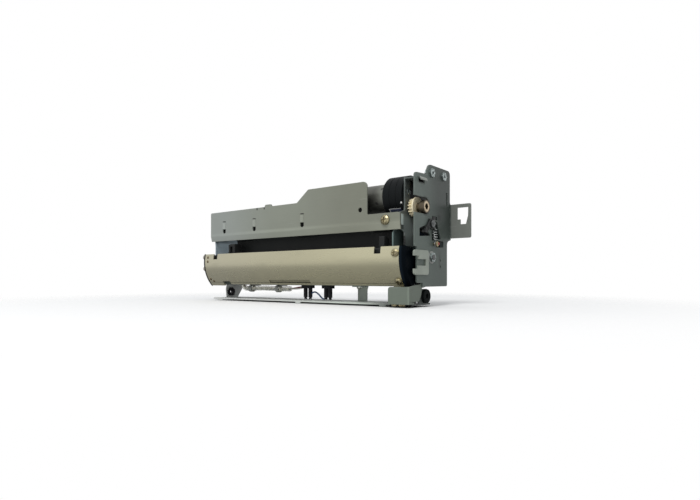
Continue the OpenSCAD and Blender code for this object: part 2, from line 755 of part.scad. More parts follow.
// Door cover: curved sheet with notches, a stepped lower edge and a shallow groove
module door_cover() {
  deep = [door_in_r - through, door_r + through];
  low = -low_deg - through;
  color("#c8c3ae") difference() {
    slab_x(cover_left, door_right) door_band(door_in_r, door_r, -low_deg, lip_deg);
    for (x = notch_x) slab_x(x - notch_w / 2, x + notch_w / 2)
      door_band(deep[0], deep[1], lip_deg - notch_deep_deg, lip_deg + 5);
    slab_x(door_left + left_notch[1], door_right - end_tab)
      door_band(deep[0], deep[1], low, -low_deg + trim_deg);
    slab_x(door_left + left_notch[0], door_left + left_notch[1])
      door_band(deep[0], deep[1], low, -low_deg + low_notch_deg);
    slab_x(groove_x[0], groove_x[1])
      door_band(door_r - groove_deep, deep[1], -groove_deg[1], -groove_deg[0]);
    slab_x(door_left + left_notch[1], door_right - end_tab)
      door_band(door_r - 0.25, deep[1], -low_deg + hem_deg - 0.5, -low_deg + hem_deg);
    for (a = boss_deg) on_door_skin(boss_x, door_r - 3, a) cylinder(d = 3.2, h = 6);
    for (p = rivet_deg) on_door_skin(rivet_x + p[1], door_r - 3, p[0]) cylinder(d = 1.7, h = 6);
  }
}

// Left end plate of the door with two tabs riveted under the cover
module door_end_left() {
  edge = door_in_r - 0.05;
  color("#2b2e2f") {
    difference() {
      union() {
        slab_x(door_left, door_left + sheet) union() {
          door_band(0, door_r + end_rim, -low_deg - 0.5, lip_deg + 0.5);
          translate(axis) circle(r = hub_r);
        }
        slab_x(door_left, rivet_x + 4.5) door_band(edge - sheet, edge, -3.4, lip_deg - 1.6);
        slab_x(door_left, rivet_x + 4.5) door_band(edge - sheet, edge, -38.5, -26.3);
        rod_x(axis, shaft_d + 4, door_left, left_out - 1.1);
      }
      rod_x(axis, shaft_d + 2 * seat, door_left - through, left_out + through);
      for (p = rivet_deg) on_door_skin(rivet_x + p[1], door_r - 5, p[0]) cylinder(d = 1.7, h = 8);
    }
  }
}

// Right end cap: black moulding that carries the toothed sector and two screw bosses
module door_end_right() {
  edge = door_in_r - 0.05;
  mesh_deg = 180 - angle_of(idler_at - axis);
  gear_right = gear_left + gear_w;
  color("#191b1d") {
    difference() {
      union() {
        slab_x(door_right, cap_out) union() {
          door_band(0, door_r, -low_deg, lip_deg);
          door_band(0, 24, -low_deg - 24, -low_deg + 1);
          translate(axis) circle(r = hub_r);
        }
        for (a = boss_deg) slab_x(boss_x - 4.5, door_right + eps)
          door_band(edge - 4.5, edge, a - 7, a + 7);
        slab_x(gear_left + 0.6, door_right + 0.6) union() {
          translate(axis) circle(r = hub_r - 0.5);
          door_band(0, sector_r - 2, mesh_deg - close_deg - 12, mesh_deg + 12);
        }
        slab_x(gear_left, gear_right) intersection() {
          translate(axis) rotate(sector_phase) polygon(gear_points(sector_n, sector_n));
          union() {
            door_band(0, sector_r + 3, mesh_deg - close_deg - 13, mesh_deg + 13);
            translate(axis) circle(r = hub_r);
          }
        }
      }
      rod_x(axis, shaft_d + 2 * seat, gear_left - through, cap_out + through);
      for (a = boss_deg) on_door_skin(boss_x, edge - 4, a) cylinder(d = 2.6, h = 6);
    }
  }
}

// Door shaft with its threaded right end
module door_shaft() {
  color("#b4b7b8") {
    rod_x(axis, shaft_d, door_left - 0.8, right_out + 0.3);
    rod_x(axis, shaft_d - 1.4, right_out + 0.3 - eps, right_out + 2.3);
  }
}
module shaft_nut() {
  color("#c3c7c9") slab_x(right_out + 0.35, right_out + 1.9) difference() {
    translate(axis) circle(d = shaft_d + 2, $fn = 6);
    translate(axis) circle(d = shaft_d - 1.4 + 2 * seat);
  }
}
module shaft_bush(x0, x1, rim0, rim1) {
  color("#d9d5c4") difference() {
    union() {
      rod_x(axis, shaft_d + 2 * bush_wall - 2 * seat, x0, x1);
      rod_x(axis, shaft_d + 2 * bush_wall + 3, rim0, rim1);
    }
    rod_x(axis, shaft_d + 2 * run, x0 - through, x1 + through);
  }
}
module shaft_bush_left() { shaft_bush(left_out - 0.8, left_in, left_out - 0.8, left_out - eps); }
module shaft_bush_right() { shaft_bush(right_in - 1.4, right_out + 0.15, right_in - 1.4, right_in - eps); }

module cover_screws() {
  color("#cfc8a8") for (a = boss_deg)
    on_door_skin(boss_x, door_r, a) pan_screw(6, 1.8, 2.5, 5);
}
module cover_rivets() {
  color("#b7b09a") for (p = rivet_deg) on_door_skin(rivet_x + p[1], door_r, p[0]) {
    cylinder(d1 = 2.8, d2 = 1.6, h = 0.6);
    translate([0, 0, -door_t - sheet - 0.4]) cylinder(d = 1.6, h = door_t + sheet + 0.4 + eps);
  }
}
module end_knobs() {
  color("#e6e6e0") for (a = knob_deg) let (p = on_door(door_r - 2.9, a))
    translate([door_left, p[0], p[1]]) rotate([0, -90, 0]) {
      cylinder(d = 5.4, h = 2.6);
      translate([0, 0, 2.6 - eps]) cylinder(d1 = 5.4, d2 = 3.6, h = 1.4);
    }
}

// Flap: black blade that hangs in the slot and swings back
flap_x = [ip_left - 3 - flap_w, ip_left - 3];
flap_low = tray_z + 1;
module flap() {
  d = flap_pin_d + 3.4;
  color("#232527") difference() {
    union() {
      box([flap_x[0], flap_y - 1, flap_low], [flap_x[1], flap_y + 1, flap_z - 1]);
      for (x = [flap_x[0], flap_x[0] + flap_w / 2 - 12, flap_x[1] - 24])
        rod_x([flap_y, flap_z], d, x, x + 24);
      for (k = [1:7])
        box([flap_x[0] + flap_w * k / 8 - 0.7, flap_y + 1 - eps, flap_low + 1],
          [flap_x[0] + flap_w * k / 8 + 0.7, flap_y + 2.2, flap_z - 4]);
    }
    rod_x([flap_y, flap_z], flap_pin_d + 2 * run, flap_x[0] - through, flap_x[1] + through);
  }
}
module flap_pin() {
  color("#b4b7b8") rod_x([flap_y, flap_z], flap_pin_d, left_out - 1, ip_right + 1);
}

// Geared motor: steel can and black gearbox
motor_at = [motor_y, motor_z];
module motor_can() {
  x0 = mb_left - box_l - can_l;
  color("#a3a7a6") {
    rod_x(motor_at, can_d, x0, mb_left - box_l);
    rod_x(motor_at, 8, x0 - 1.6, x0 + eps);
    for (a = [60, 240])
      translate([x0 - 3.6, motor_y + 8 * cos(a) - 1.2, motor_z + 8 * sin(a) - 0.3]) cube([3.8, 2.4, 0.6]);
  }
}
module gearbox() {
  x0 = mb_left - box_l;
  color("#17181a") difference() {
    union() {
      rod_x(motor_at, box_d, x0 + 1, mb_left);
      rod_x(motor_at, box_d - 1.6, x0, x0 + 1 + eps);
      rod_x(out_at, 9.4, mb_left - eps, mb_right + 0.2);
    }
    for (p = gearbox_screw_at()) rod_x(p, 2.4, mb_left - 6, mb_left + through);
    rod_x(out_at, drive_d + 2 * run, mb_left - 8, mb_right + 2);
    for (x = [x0 + 6.5, x0 + 12.5]) slab_x(x, x + 0.6) translate(motor_at) difference() {
      circle(d = box_d + 2);
      circle(d = box_d - 0.8);
    }
  }
}
module gearbox_screws() {
  color("#c9c2a4") for (p = gearbox_screw_at())
    translate([mb_right, p[0], p[1]]) rotate([0, 90, 0]) pan_screw(4.4, 1, 2.3, 5.5 + sheet);
}

// Brass drive: shaft, flange, toothed pinion and socketed collar in one turning
drive_d = 5;
neck_d = 7;
flange_d = 16.5;
module drive_pinion() {
  gear_right = gear_left + gear_w;
  collar = [right_in - 1.5, right_out + 1.2];
  color("#c9b275") difference() {
    union() {
      rod_x(out_at, drive_d, mb_left - 7.5, collar[1] - 2);
      rod_x(out_at, neck_d, gear_right - eps, collar[0] + eps);
      rod_x(out_at, flange_d, gear_right + gap, gear_right + gap + 1.1);
      slab_x(gear_left - eps, gear_right) translate(out_at) rotate(pinion_phase)
        polygon(gear_points(pinion_n, pinion_n));
      rod_x(out_at, 10.2, collar[0], collar[1]);
    }
    slab_x(collar[1] - 3, collar[1] + through) translate(out_at) circle(d = 5.4, $fn = 6);
  }
}
module idler_gear() {
  color("#26282a") difference() {
    union() {
      slab_x(gear_left, gear_left + gear_w) translate(idler_at) rotate(idler_phase)
        polygon(gear_points(idler_n, idler_n));
      rod_x(idler_at, 8, gear_left - 0.8, gear_left + gear_w + 1);
    }
    rod_x(idler_at, 4 + 2 * run, gear_left - 3, gear_left + gear_w + 3);
    for (k = [0:4])
      rod_x(idler_at + 7.2 * [cos(72 * k), sin(72 * k)], 4, gear_left - 3, gear_left + gear_w + 3);
  }
}
module idler_pin() {
  color("#b4b7b8") {
    rod_x(idler_at, 2.9, mb_left - 0.6, mb_right + eps);
    rod_x(idler_at, 4, mb_right, gear_left + gear_w + 1.3);
    rod_x(idler_at, 7, gear_left + gear_w + 1.3 - eps, gear_left + gear_w + 2.3);
  }
}

// Latch lever on the outside of the right side plate, with its pivot, spring and post
module latch_lever() {
  tip = lever_tip;
  color("#3a3c3c") difference() {
    union() {
      slab_x(lever_x, lever_x + lever_t) polygon(outline([
        [lever_y - 4, lever_z - 3.5, 2], [hook[0] - 2, hook[1] - 1.7, 1.2],
        [hook[0] + 2, hook[1] - 1.6, 1.2], [hook[0] + 2.2, hook[1] + 2, 1],
        [lever_y + 4.2, lever_z + 3.8, 2.5], [lever_y - 3, lever_z + 4.2, 2],
        [tip[0] - 1.5, tip[1] + 1.6, 1], [tip[0] - 1.5, tip[1] - 1, 0.5], [tip[0] + 1, tip[1] - 1.4, 0.5]
      ]));
      box([right_in - 0.8, tip[0] - 1.2, tip[1] - 0.8], [lever_x + eps, tip[0] + 0.6, tip[1] + 1]);
    }
    rod_x([lever_y, lever_z], lever_pin_d + 2 * run, lever_x - through, lever_x + lever_t + through);
    rod_x(hook, 1.6, lever_x - through, lever_x + lever_t + through);
  }
}
module lever_pin() {
  color("#c3c7c9") {
    rod_x([lever_y, lever_z], lever_pin_d - 1.1, right_in - 0.6, right_out + eps);
    rod_x([lever_y, lever_z], lever_pin_d + 2, right_out, lever_x - 0.1);
    rod_x([lever_y, lever_z], lever_pin_d, lever_x - 0.1 - eps, lever_out + 0.2);
    rod_x([lever_y, lever_z], lever_pin_d + 2, lever_out + 0.2 - eps, lever_out + 1.1);
  }
}
module spring_post() {
  color("#b58a3c") {
    rod_x(post, post_d, right_out, lever_out + 0.8);
    rod_x(post, post_d + 1.8, lever_out + 0.8 - eps, lever_out + 1.6);
  }
}

// Extension spring from the lever's hook hole to the post, as one unbroken tube
spring_x = lever_x + lever_t / 2;
spring_a = [spring_x + 0.6, hook[0], hook[1]];
spring_b = [spring_x + 0.6, post[0], post[1] + post_d / 2 + wire_d / 2 + 0.2];
spring_u = unit(spring_b - spring_a);
spring_v = [1, 0, 0];
spring_w = cross(spring_u, spring_v);
spring_len = norm(spring_b - spring_a);
coil_r = (coil_d - wire_d) / 2;
coil_len = coil_n * (wire_d + 0.5);
lead_len = (spring_len - coil_len) / 2;
function spring_point(s, r, a) =
  spring_a + s * spring_u + r * (cos(a) * spring_w + sin(a) * spring_v);
spring_path = concat(
  [spring_point(-0.2, 0, 0) + [-0.8, 0, 0], spring_point(0, 0, 0) + [0.3, 0, 0]],
  [spring_point(0.6, 0, 0) + [0.5, 0, 0], spring_point(lead_len * 0.5, 0, 0) + [0.5, 0, 0]],
  [for (k = [0:coil_n * 8]) spring_point(lead_len + coil_len * k / (coil_n * 8), coil_r, 45 * k)],
  [spring_point(spring_len - lead_len * 0.6, 0, 0)],
  [spring_point(spring_len - 0.2, 0, 0), spring_point(spring_len, 0, 0)]
);
spring_gap = min([for (i = [0:len(spring_path) - 1], j = [0:len(spring_path) - 1])
  if (j - i >= 5) norm(spring_path[i] - spring_path[j]) - wire_d]);
module lever_spring() {
  echo(lever_spring_least_gap = spring_gap);
  color("#8d9092") tube(spring_path, wire_d, 6);
}

// Light plastic glide that wraps the front edge of the right side plate
module edge_glide() {
  z0 = 25.2;
  z1 = 44.4;
  front = low_front - 6.3;
  back = low_front + 16.2;
  arm = 4.6;
  inner = low_front;
  deep = low_front + 11.8;
  color("#c7ccc7") {
    slab_x(right_out, right_out + 1.5) difference() {
      polygon(pane(front, z0, back, z1, 2.2));
      polygon([
        [front - 1, z0 + arm], [inner, z0 + arm], [inner, z0 + 7.1], [deep, z0 + 7.1],
        [deep, z1 - 7.1], [inner, z1 - 7.1], [inner, z1 - arm], [front - 1, z1 - arm]
      ]);
    }
  }
}

// Rubber bushes in the base plate's lugs
module lug_bush(d, x0, x1, in0, out1) {
  color("#151617") difference() {
    union() {
      rod_x([bush_y, bush_z], bush_seat_d - 2 * seat, in0, out1);
      rod_x([bush_y, bush_z], d, in0, x0 - eps);
      rod_x([bush_y, bush_z], d, x1 + eps, out1);
    }
    rod_x([bush_y, bush_z], bush_bore, in0 - through, out1 + through);
  }
}
module lug_bush_left() {
  lug_bush(bush_d - 2.2, left_in, left_in + sheet, left_in - 1.4, left_in + sheet + 1.8);
}
module lug_bush_right() {
  lug_bush(bush_d, base_right - sheet, base_right, base_right - sheet - 1.2, base_right + 2.6);
}

// Hex studs on the right side plate that hold the motor bracket's flange
module plate_fasteners() {
  color("#aab0b3") for (y = fastener_y) {
    rod_x([y, fastener_z], 4.2 - 2 * seat, right_in - sheet - 2, right_out + eps);
    slab_x(right_out, right_out + 1.4) translate([y, fastener_z]) difference() {
      circle(d = 7.6, $fn = 6);
      circle(d = 2.6);
    }
    slab_x(right_in - sheet - 2.2, right_in - sheet) translate([y, fastener_z]) circle(d = 7, $fn = 6);
  }
}
module panel_screw() {
  color("#d8cf9c") translate([screw_x, 0, screw_z]) rotate([90, 0, 0]) pan_screw(7.7, 2.6, 3.3, 6);
}
module upright_screws() {
  color("#d9dadb") for (u = upright_x)
    translate([(u[0] + u[1]) / 2, base_back - 5.5, channel_z - sheet]) rotate([180, 0, 0])
      pan_screw(5, 1.8, 2.5, sheet + 3);
}

// Two sensor plugs below the channel, each with two black boots and thin tails
module sensor_boots() {
  color("#141518") for (b = boot_x) {
    translate([b[0] - 2.6, boot_y - 3, channel_z - 2.6]) cube([b[1] - b[0] + 5.2, 6, 2.6]);
    for (x = b) {
      rod_z([x, boot_y], boot_d, boot_low, channel_z - 2.6 + eps);
      rod_z([x, boot_y], boot_d - 1.2, boot_low - 1.6, boot_low + eps);
    }
  }
}

// Harness below the channel: sleeve, clips and leads
sleeve_d = 5;
sleeve_z = 12.4;
clip_x = [-74, -36];
clip_y = channel_y[0] + 4;
sleeve_path = [
  [-88, clip_y + 1, 20.5], [-88, clip_y + 1, 16.8], [-86.2, clip_y + 0.7, 13.9],
  [-82, clip_y + 0.2, sleeve_z], [clip_x[0], clip_y, sleeve_z], [-55, clip_y, sleeve_z + 0.5],
  [clip_x[1], clip_y, sleeve_z], [-28, clip_y, sleeve_z + 0.1], [-20, clip_y, sleeve_z + 0.2]
];
module harness_sleeve() {
  color("#dcdcd2") tube(spline(sleeve_path, 3), sleeve_d, 10);
}
module harness_clips() {
  tab_t = 0.9;
  color("#8f9596") for (x = clip_x) slab_x(x - 2, x + 2) difference() {
    union() {
      translate([clip_y, sleeve_z]) circle(d = sleeve_d + 2);
      translate([clip_y, channel_z - tab_t]) square([10, tab_t]);
    }
    translate([clip_y, sleeve_z]) circle(d = sleeve_d + 0.3);
  }
}
lead_d = 1.4;
white_path = [
  [-19.9, 11.2, 12.6], [-15, 11.2, 12.9], [-10, 10.9, 13.3], [-5, 10.6, 13.8], [-1.7, 10.4, 14.2]
];
red_path = [
  [-19.9, 12.9, 12.6], [-15, 12.9, 12.8], [-10, 12.7, 13], [-5, 12.4, 13.8], [-1.7, 12.1, 14.4]
];
blue_path = [
  [9.5, 10, 9.2], [10.6, 10.2, 9.9], [13, 10.6, 9.8], [16, 10.9, 8], [18.6, 10.8, 5.8],
  [20.8, 10.5, 4.4], [22.1, 10.2, 4.1], [22.9, 10, 4.1]
];
module lead_white() { color("#e8e6e0") tube(spline(white_path), lead_d); }
module lead_red() { color("#b8485a") tube(spline(red_path), lead_d); }
module lead_blue() { color("#2c4f78") tube(spline(blue_path), lead_d); }

// Black guide behind the panel: it closes the panel's slots from behind
module upper_guide() {
  y0 = flange_y + sheet + seat;
  color("#1c1e20") difference() {
    slab_y(y0, y0 + 1.6) polygon([
      [left_in + gap, flange_z], [mb_left - gap, flange_z], [mb_left - gap, panel_z + tail_h - 1],
      [raise_end - 1.5, panel_z + tail_h - 1], [raise_end - 1.5, panel_top - 0.6],
      [left_in + gap, panel_top - 0.6]
    ]);
    rod_y([screw_x, screw_z], 3.6, y0 - through, y0 + 1.6 + through);
  }
}

side_plate_right();
side_plate_left();
inner_plate();
motor_bracket();
front_panel();
base_plate();
lower_channel();
tie_rod();
corner_bracket();
note_tray();
door_cover();
door_end_left();
door_end_right();
door_shaft();
shaft_nut();
cover_screws();
cover_rivets();
end_knobs();
shaft_bush_left();
shaft_bush_right();
flap();
flap_pin();
motor_can();
gearbox();
gearbox_screws();
drive_pinion();
idler_gear();
idler_pin();
latch_lever();
lever_pin();
lever_spring();
spring_post();
edge_glide();
lug_bush_left();
lug_bush_right();
plate_fasteners();
panel_screw();
corner_screws();
upright_screws();
tray_screws();
tie_screws();
sensor_boots();
harness_sleeve();
harness_clips();
lead_white();
lead_red();
lead_blue();
upper_guide();
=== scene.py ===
# %% [markdown]
# # Finishing a cash slot shutter unit
#
# The unit sits behind the slot of a banking machine. A long curved door closes the slot, a geared
# motor at the right-hand end turns it, and folded sheet steel holds everything together.
# The solid pieces are already made and jointed in one frame. Here they get their finishes, and
# the few soft, thin or very fine pieces are modelled: the lever's spring, the wiring and its sleeve,
# the motor's label and end bell, and two dabs of paint.

# %% Load the jointed part
import math

import bpy
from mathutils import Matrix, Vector


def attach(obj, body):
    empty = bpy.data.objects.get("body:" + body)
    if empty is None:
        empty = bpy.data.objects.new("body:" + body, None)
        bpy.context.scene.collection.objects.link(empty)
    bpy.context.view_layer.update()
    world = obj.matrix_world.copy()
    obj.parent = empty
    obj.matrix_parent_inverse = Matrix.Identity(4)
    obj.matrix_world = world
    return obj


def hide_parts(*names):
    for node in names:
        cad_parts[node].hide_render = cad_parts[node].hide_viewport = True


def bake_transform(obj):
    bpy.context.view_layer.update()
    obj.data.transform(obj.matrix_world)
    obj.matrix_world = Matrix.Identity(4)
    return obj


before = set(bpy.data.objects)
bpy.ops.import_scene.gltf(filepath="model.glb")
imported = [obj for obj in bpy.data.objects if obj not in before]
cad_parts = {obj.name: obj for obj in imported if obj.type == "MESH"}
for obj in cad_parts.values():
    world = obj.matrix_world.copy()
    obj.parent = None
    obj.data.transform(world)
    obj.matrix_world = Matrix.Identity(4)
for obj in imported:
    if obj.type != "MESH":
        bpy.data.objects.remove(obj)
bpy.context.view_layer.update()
mm = 0.001

# %% [markdown]
# ## Arithmetic for finishes
#
# A finish is a chain of small sums: grain times wear plus a stain. Wiring those sums node by node
# takes many lines, so one small class stands for a socket and lets plain arithmetic add the nodes.
# Its one other method adds any node at all, settings first and sockets after.

# %% A socket that does sums
class Wire:
    """One socket of a finish. Sums with it add the nodes that work them out."""

    def __init__(self, tree, socket=None):
        self.tree = tree
        self.socket = socket

    def node(self, kind, settings, inputs, output=0):
        """Adds a node and returns one of its outputs."""
        made = self.tree.nodes.new(kind)
        for name, value in settings.items():
            setattr(made, name, value)
        for key, value in inputs.items():
            if isinstance(value, Wire):
                self.tree.links.new(value.socket, made.inputs[key])
            else:
                made.inputs[key].default_value = value
        return Wire(self.tree, made.outputs[output])

    def __add__(self, other):
        return self.node("ShaderNodeMath", {"operation": "ADD"}, {0: self, 1: other})

    def __radd__(self, other):
        return self.node("ShaderNodeMath", {"operation": "ADD"}, {0: other, 1: self})

    def __sub__(self, other):
        return self.node("ShaderNodeMath", {"operation": "SUBTRACT"}, {0: self, 1: other})

    def __rsub__(self, other):
        return self.node("ShaderNodeMath", {"operation": "SUBTRACT"}, {0: other, 1: self})

    def __mul__(self, other):
        return self.node("ShaderNodeMath", {"operation": "MULTIPLY"}, {0: self, 1: other})

    def __rmul__(self, other):
        return self.node("ShaderNodeMath", {"operation": "MULTIPLY"}, {0: other, 1: self})


print("sums ready")

# %% [markdown]
# ## What every finish is made from
#
# Real surfaces differ from spot to spot: rolling lines, cloudy patches, bright rubbed edges. Pictures
# of such marks could be wrapped round each piece, but they stretch and repeat. So each kind of mark
# is one helper that works from the place on the piece in metres: a grain has the same real size on
# a screw and on a panel, and it moves with the piece.

# %% Grain, edges and dressing
def new_finish(name):
    """A new material, and the place on the piece in metres."""
    material = bpy.data.materials.new(name)
    material.use_nodes = True
    place = Wire(material.node_tree).node("ShaderNodeTexCoord", {}, {}, "Object")
    return material, place


def dress(material, inputs):
    """Joins or sets the sockets of the material's shader."""
    shader = material.node_tree.nodes["Principled BSDF"]
    for name, value in inputs.items():
        if isinstance(value, Wire):
            material.node_tree.links.new(value.socket, shader.inputs[name])
        else:
            shader.inputs[name].default_value = value
    return material


def along(place, axis):
    return place.node("ShaderNodeSeparateXYZ", {}, {"Vector": place}, axis)


def grain(place, size, stretch=(1, 1, 1), detail=3.0):
    """Noise with marks of a real size, drawn out along an axis whose stretch is below 1."""
    spread = place.node(
        "ShaderNodeVectorMath", {"operation": "MULTIPLY"}, {0: place, 1: [s / size for s in stretch]}
    )
    return place.node("ShaderNodeTexNoise", {}, {"Vector": spread, "Scale": 1.0, "Detail": detail})


def between(value, low, high):
    """0 below low, 1 above high and smooth in between."""
    return value.node(
        "ShaderNodeMapRange",
        {"interpolation_type": "SMOOTHSTEP"},
        {"Value": value, "From Min": low, "From Max": high},
    )


def strip(value, low, high, soft):
    """1 from low to high, 0 outside."""
    return between(value, low - soft, low + soft) * (1 - between(value, high - soft, high + soft))


def mix(amount, first, second):
    return amount.node("ShaderNodeMix", {"data_type": "RGBA"}, {0: amount, 6: first, 7: second}, 2)


def tone(colour, value):
    """The colour, lighter or darker by value."""
    return value.node("ShaderNodeHueSaturation", {}, {"Value": value, "Color": colour})


def away_from(place, point):
    """Distance from a point, in metres."""
    return place.node(
        "ShaderNodeVectorMath", {"operation": "DISTANCE"}, {0: place, 1: Vector(point) * mm}, "Value"
    )


def soft_edge(place, radius):
    """Normals that go round an edge, and where those edges are."""
    rounded = place.node("ShaderNodeBevel", {"samples": 6}, {"Radius": radius})
    flat = place.node("ShaderNodeNewGeometry", {}, {}, "Normal")
    alike = place.node(
        "ShaderNodeVectorMath", {"operation": "DOT_PRODUCT"}, {0: rounded, 1: flat}, "Value"
    )
    return rounded, between(1 - alike, 0.01, 0.15)


def bumped(height, depth, normal=None):
    """Normals of a surface with small hills, on top of other normals where they are given."""
    inputs = {"Height": height, "Distance": depth}
    if normal:
        inputs["Normal"] = normal
    return height.node("ShaderNodeBump", {}, inputs)


print("helpers ready")

# %% [markdown]
# ## Coated sheet steel
#
# The frame is pressed from sheet that was coated at the mill, a satin grey with a green cast. Such
# sheet shows faint rolling lines, cloudy patches where it was handled, and bright steel where a cut
# edge has been rubbed. No two sheets match: the left end is bluer, the side plate is a darker coil,
# and the panel turns warmer to the right. So the recipe takes a row of colours with the places
# along the unit where they hold. It could be a plain paint, but then a broad flat panel looks
# like card.

# %% Recipe for coated sheet
def coated_sheet(name, stops, bare, rough, pale=None):
    """Stops are places along X in mm with colours. Pale adds painted light and shade, and other marks, at
    some places.
    """
    material, place = new_finish(name)
    normal, edge = soft_edge(place, 0.35 * mm)
    cloud = grain(place, 26 * mm)
    rolled = grain(place, 0.9 * mm, (0.05, 1, 1))
    speck = grain(place, 0.5 * mm, detail=1.0)
    scratch = between(grain(place, 1.1 * mm, (0.05, 1, 0.6), 1.0), 0.70, 0.76)
    x = along(place, "X")
    colour = stops[0][1]
    for (here, _), (there, next_colour) in zip(stops, stops[1:]):
        colour = mix(between(x, here * mm, there * mm), colour, next_colour)
    light = 0.86 + 0.18 * cloud + 0.06 * rolled + 0.04 * speck
    colour = tone(colour, light + pale(place) if pale else light)
    rubbed = edge * between(grain(place, 3 * mm), 0.38, 0.62) * 0.55 + scratch * 0.12
    return dress(material, {
        "Base Color": mix(rubbed, colour, bare),
        "Roughness": rough + 0.16 * (cloud - 0.5) + 0.08 * (speck - 0.5) - 0.1 * rubbed,
        "Metallic": rubbed * 0.5,
        "Normal": bumped(rolled + speck * 0.6, 0.012 * mm, normal),
        "Specular IOR Level": 0.35,
    })


print("sheet recipe ready")

# %% [markdown]
# ## Five sheets with painted light and shade
#
# The smaller sheets carry painted light and shade. The motor bracket's face is paler in the middle, with
# a painted highlight at its front bend and painted shade round the drive, high up and at its foot. The
# left plate is darker at its front edge and has painted shade where the panel shades it. The inner
# plate's front edge is lighter, and its rear flange behind the lever's windows is painted black as
# shade. The corner's bend has a painted highlight and its side painted shade. The base plate is painted
# paler, as the light under the unit, and dark at its right end, as shade. Thin dark shells could be
# modelled, but they would flicker against the sheet. A mark is a small function of the place instead,
# and the recipe adds it to the sheet's lightness.

# %% Bracket, left plate, base, corner and inner plate
pale_steel = (0.42, 0.43, 0.41, 1)
dark_steel = (0.1, 0.11, 0.11, 1)


def bracket_painted_light(place):
    """Painted light on the bracket: a paler middle, a highlight at the bend, and shade high up, by the
    drive and at the foot.
    """
    x, y, z = (along(place, axis) for axis in "XYZ")
    face = between(x, 107.9 * mm, 108.1 * mm) * between(z, 40 * mm, 46 * mm)
    # Painted light and shade on the bracket's face: paler in the middle, painted shade high up and beside
    # the drive.
    light = 0.3 + 0.35 * between(z, 52 * mm, 58 * mm) - between(z, 69.5 * mm, 75 * mm)
    light = light - 0.8 * between(y, 15.5 * mm, 17.5 * mm) * between(z, 70.5 * mm, 72 * mm)
    # A painted highlight along the front bend, and painted shade under it.
    light = light + 3.0 * (1 - between(y, 4.4 * mm, 7.2 * mm)) * strip(z, 64.6 * mm, 73 * mm, 0.4 * mm)
    light = light - 1.1 * (1 - between(y, 5.6 * mm, 7.2 * mm)) * strip(z, 61 * mm, 64.4 * mm, 0.3 * mm)
    # Painted shade at the foot.
    foot = (1 - between(y, 8.7 * mm, 9.0 * mm)) * strip(z, 45.5 * mm, 56.2 * mm, 0.7 * mm)
    return face * light - 1.2 * foot


def left_plate_front_and_shade(place):
    """The left plate is darker at its front edge, and has painted shade under the panel."""
    front = between(along(place, "Y"), 5 * mm, 10 * mm) - 1
    return front * 0.26 - between(along(place, "Z"), 58.6 * mm, 61 * mm) * 0.62


def inner_plate_edge_and_shade(place):
    """The inner plate's front edge is lighter, and its rear flange is painted black, as shade."""
    front = 1 - between(along(place, "Y"), 1.55 * mm, 1.75 * mm)
    return front - between(along(place, "X"), 116 * mm, 118 * mm) * 0.7


def corner_painted_light(place):
    """Painted light: the corner's bend has a painted highlight, and its side painted shade, a little
    darker than its front.
    """
    at_side = between(along(place, "X"), 118.4 * mm, 119.6 * mm)
    return at_side * (0.3 - 0.38 * between(along(place, "Y"), -5.6 * mm, -4.6 * mm))


green = [(0, (0.130, 0.150, 0.140, 1))]
blue = [(0, (0.405, 0.500, 0.550, 1))]
# The base plate is painted paler, as the light that reaches it under the unit, and dark at its right end,
# as painted shade.
pale_lit_then_shaded = [
    (-60, (0.580, 0.590, 0.570, 1)), (60, (0.600, 0.650, 0.590, 1)), (106, (0.075, 0.083, 0.078, 1))
]
olive = [(0, (0.148, 0.174, 0.142, 1))]
teal = [(0, (0.075, 0.105, 0.100, 1))]
bracket_grey = coated_sheet("bracket grey coat", green, pale_steel, 0.46, bracket_painted_light)
blue_grey = coated_sheet("blue grey coat", blue, pale_steel, 0.48, left_plate_front_and_shade)
base_grey = coated_sheet("base grey coat", pale_lit_then_shaded, pale_steel, 0.50)
corner_grey = coated_sheet("corner grey coat", olive, pale_steel, 0.50, corner_painted_light)
inner_grey = coated_sheet("inner grey coat", teal, dark_steel, 0.55, inner_plate_edge_and_shade)
print("five sheet finishes")

# %% [markdown]
# ## Right side plate
#
# The outer plate is painted with light and shade. Its rear, most of all its upper rear corner, has
# painted shade, so its front half looks paler. A dark ring of painted shade stands round the cut for
# the drive, and two darker patches sit on its rear half. Under the louvre is painted shade, and its
# lip has a painted highlight. The ear is bent from the same sheet but has a lighter colour. Noise alone
# can't make such marks, because they sit at given places.
# They could be painted by hand, but soft strips and rings at measured places can be read and changed.

# %% Plate that is paler in front
drive_cut = (121.5, 17.2, 79.7)


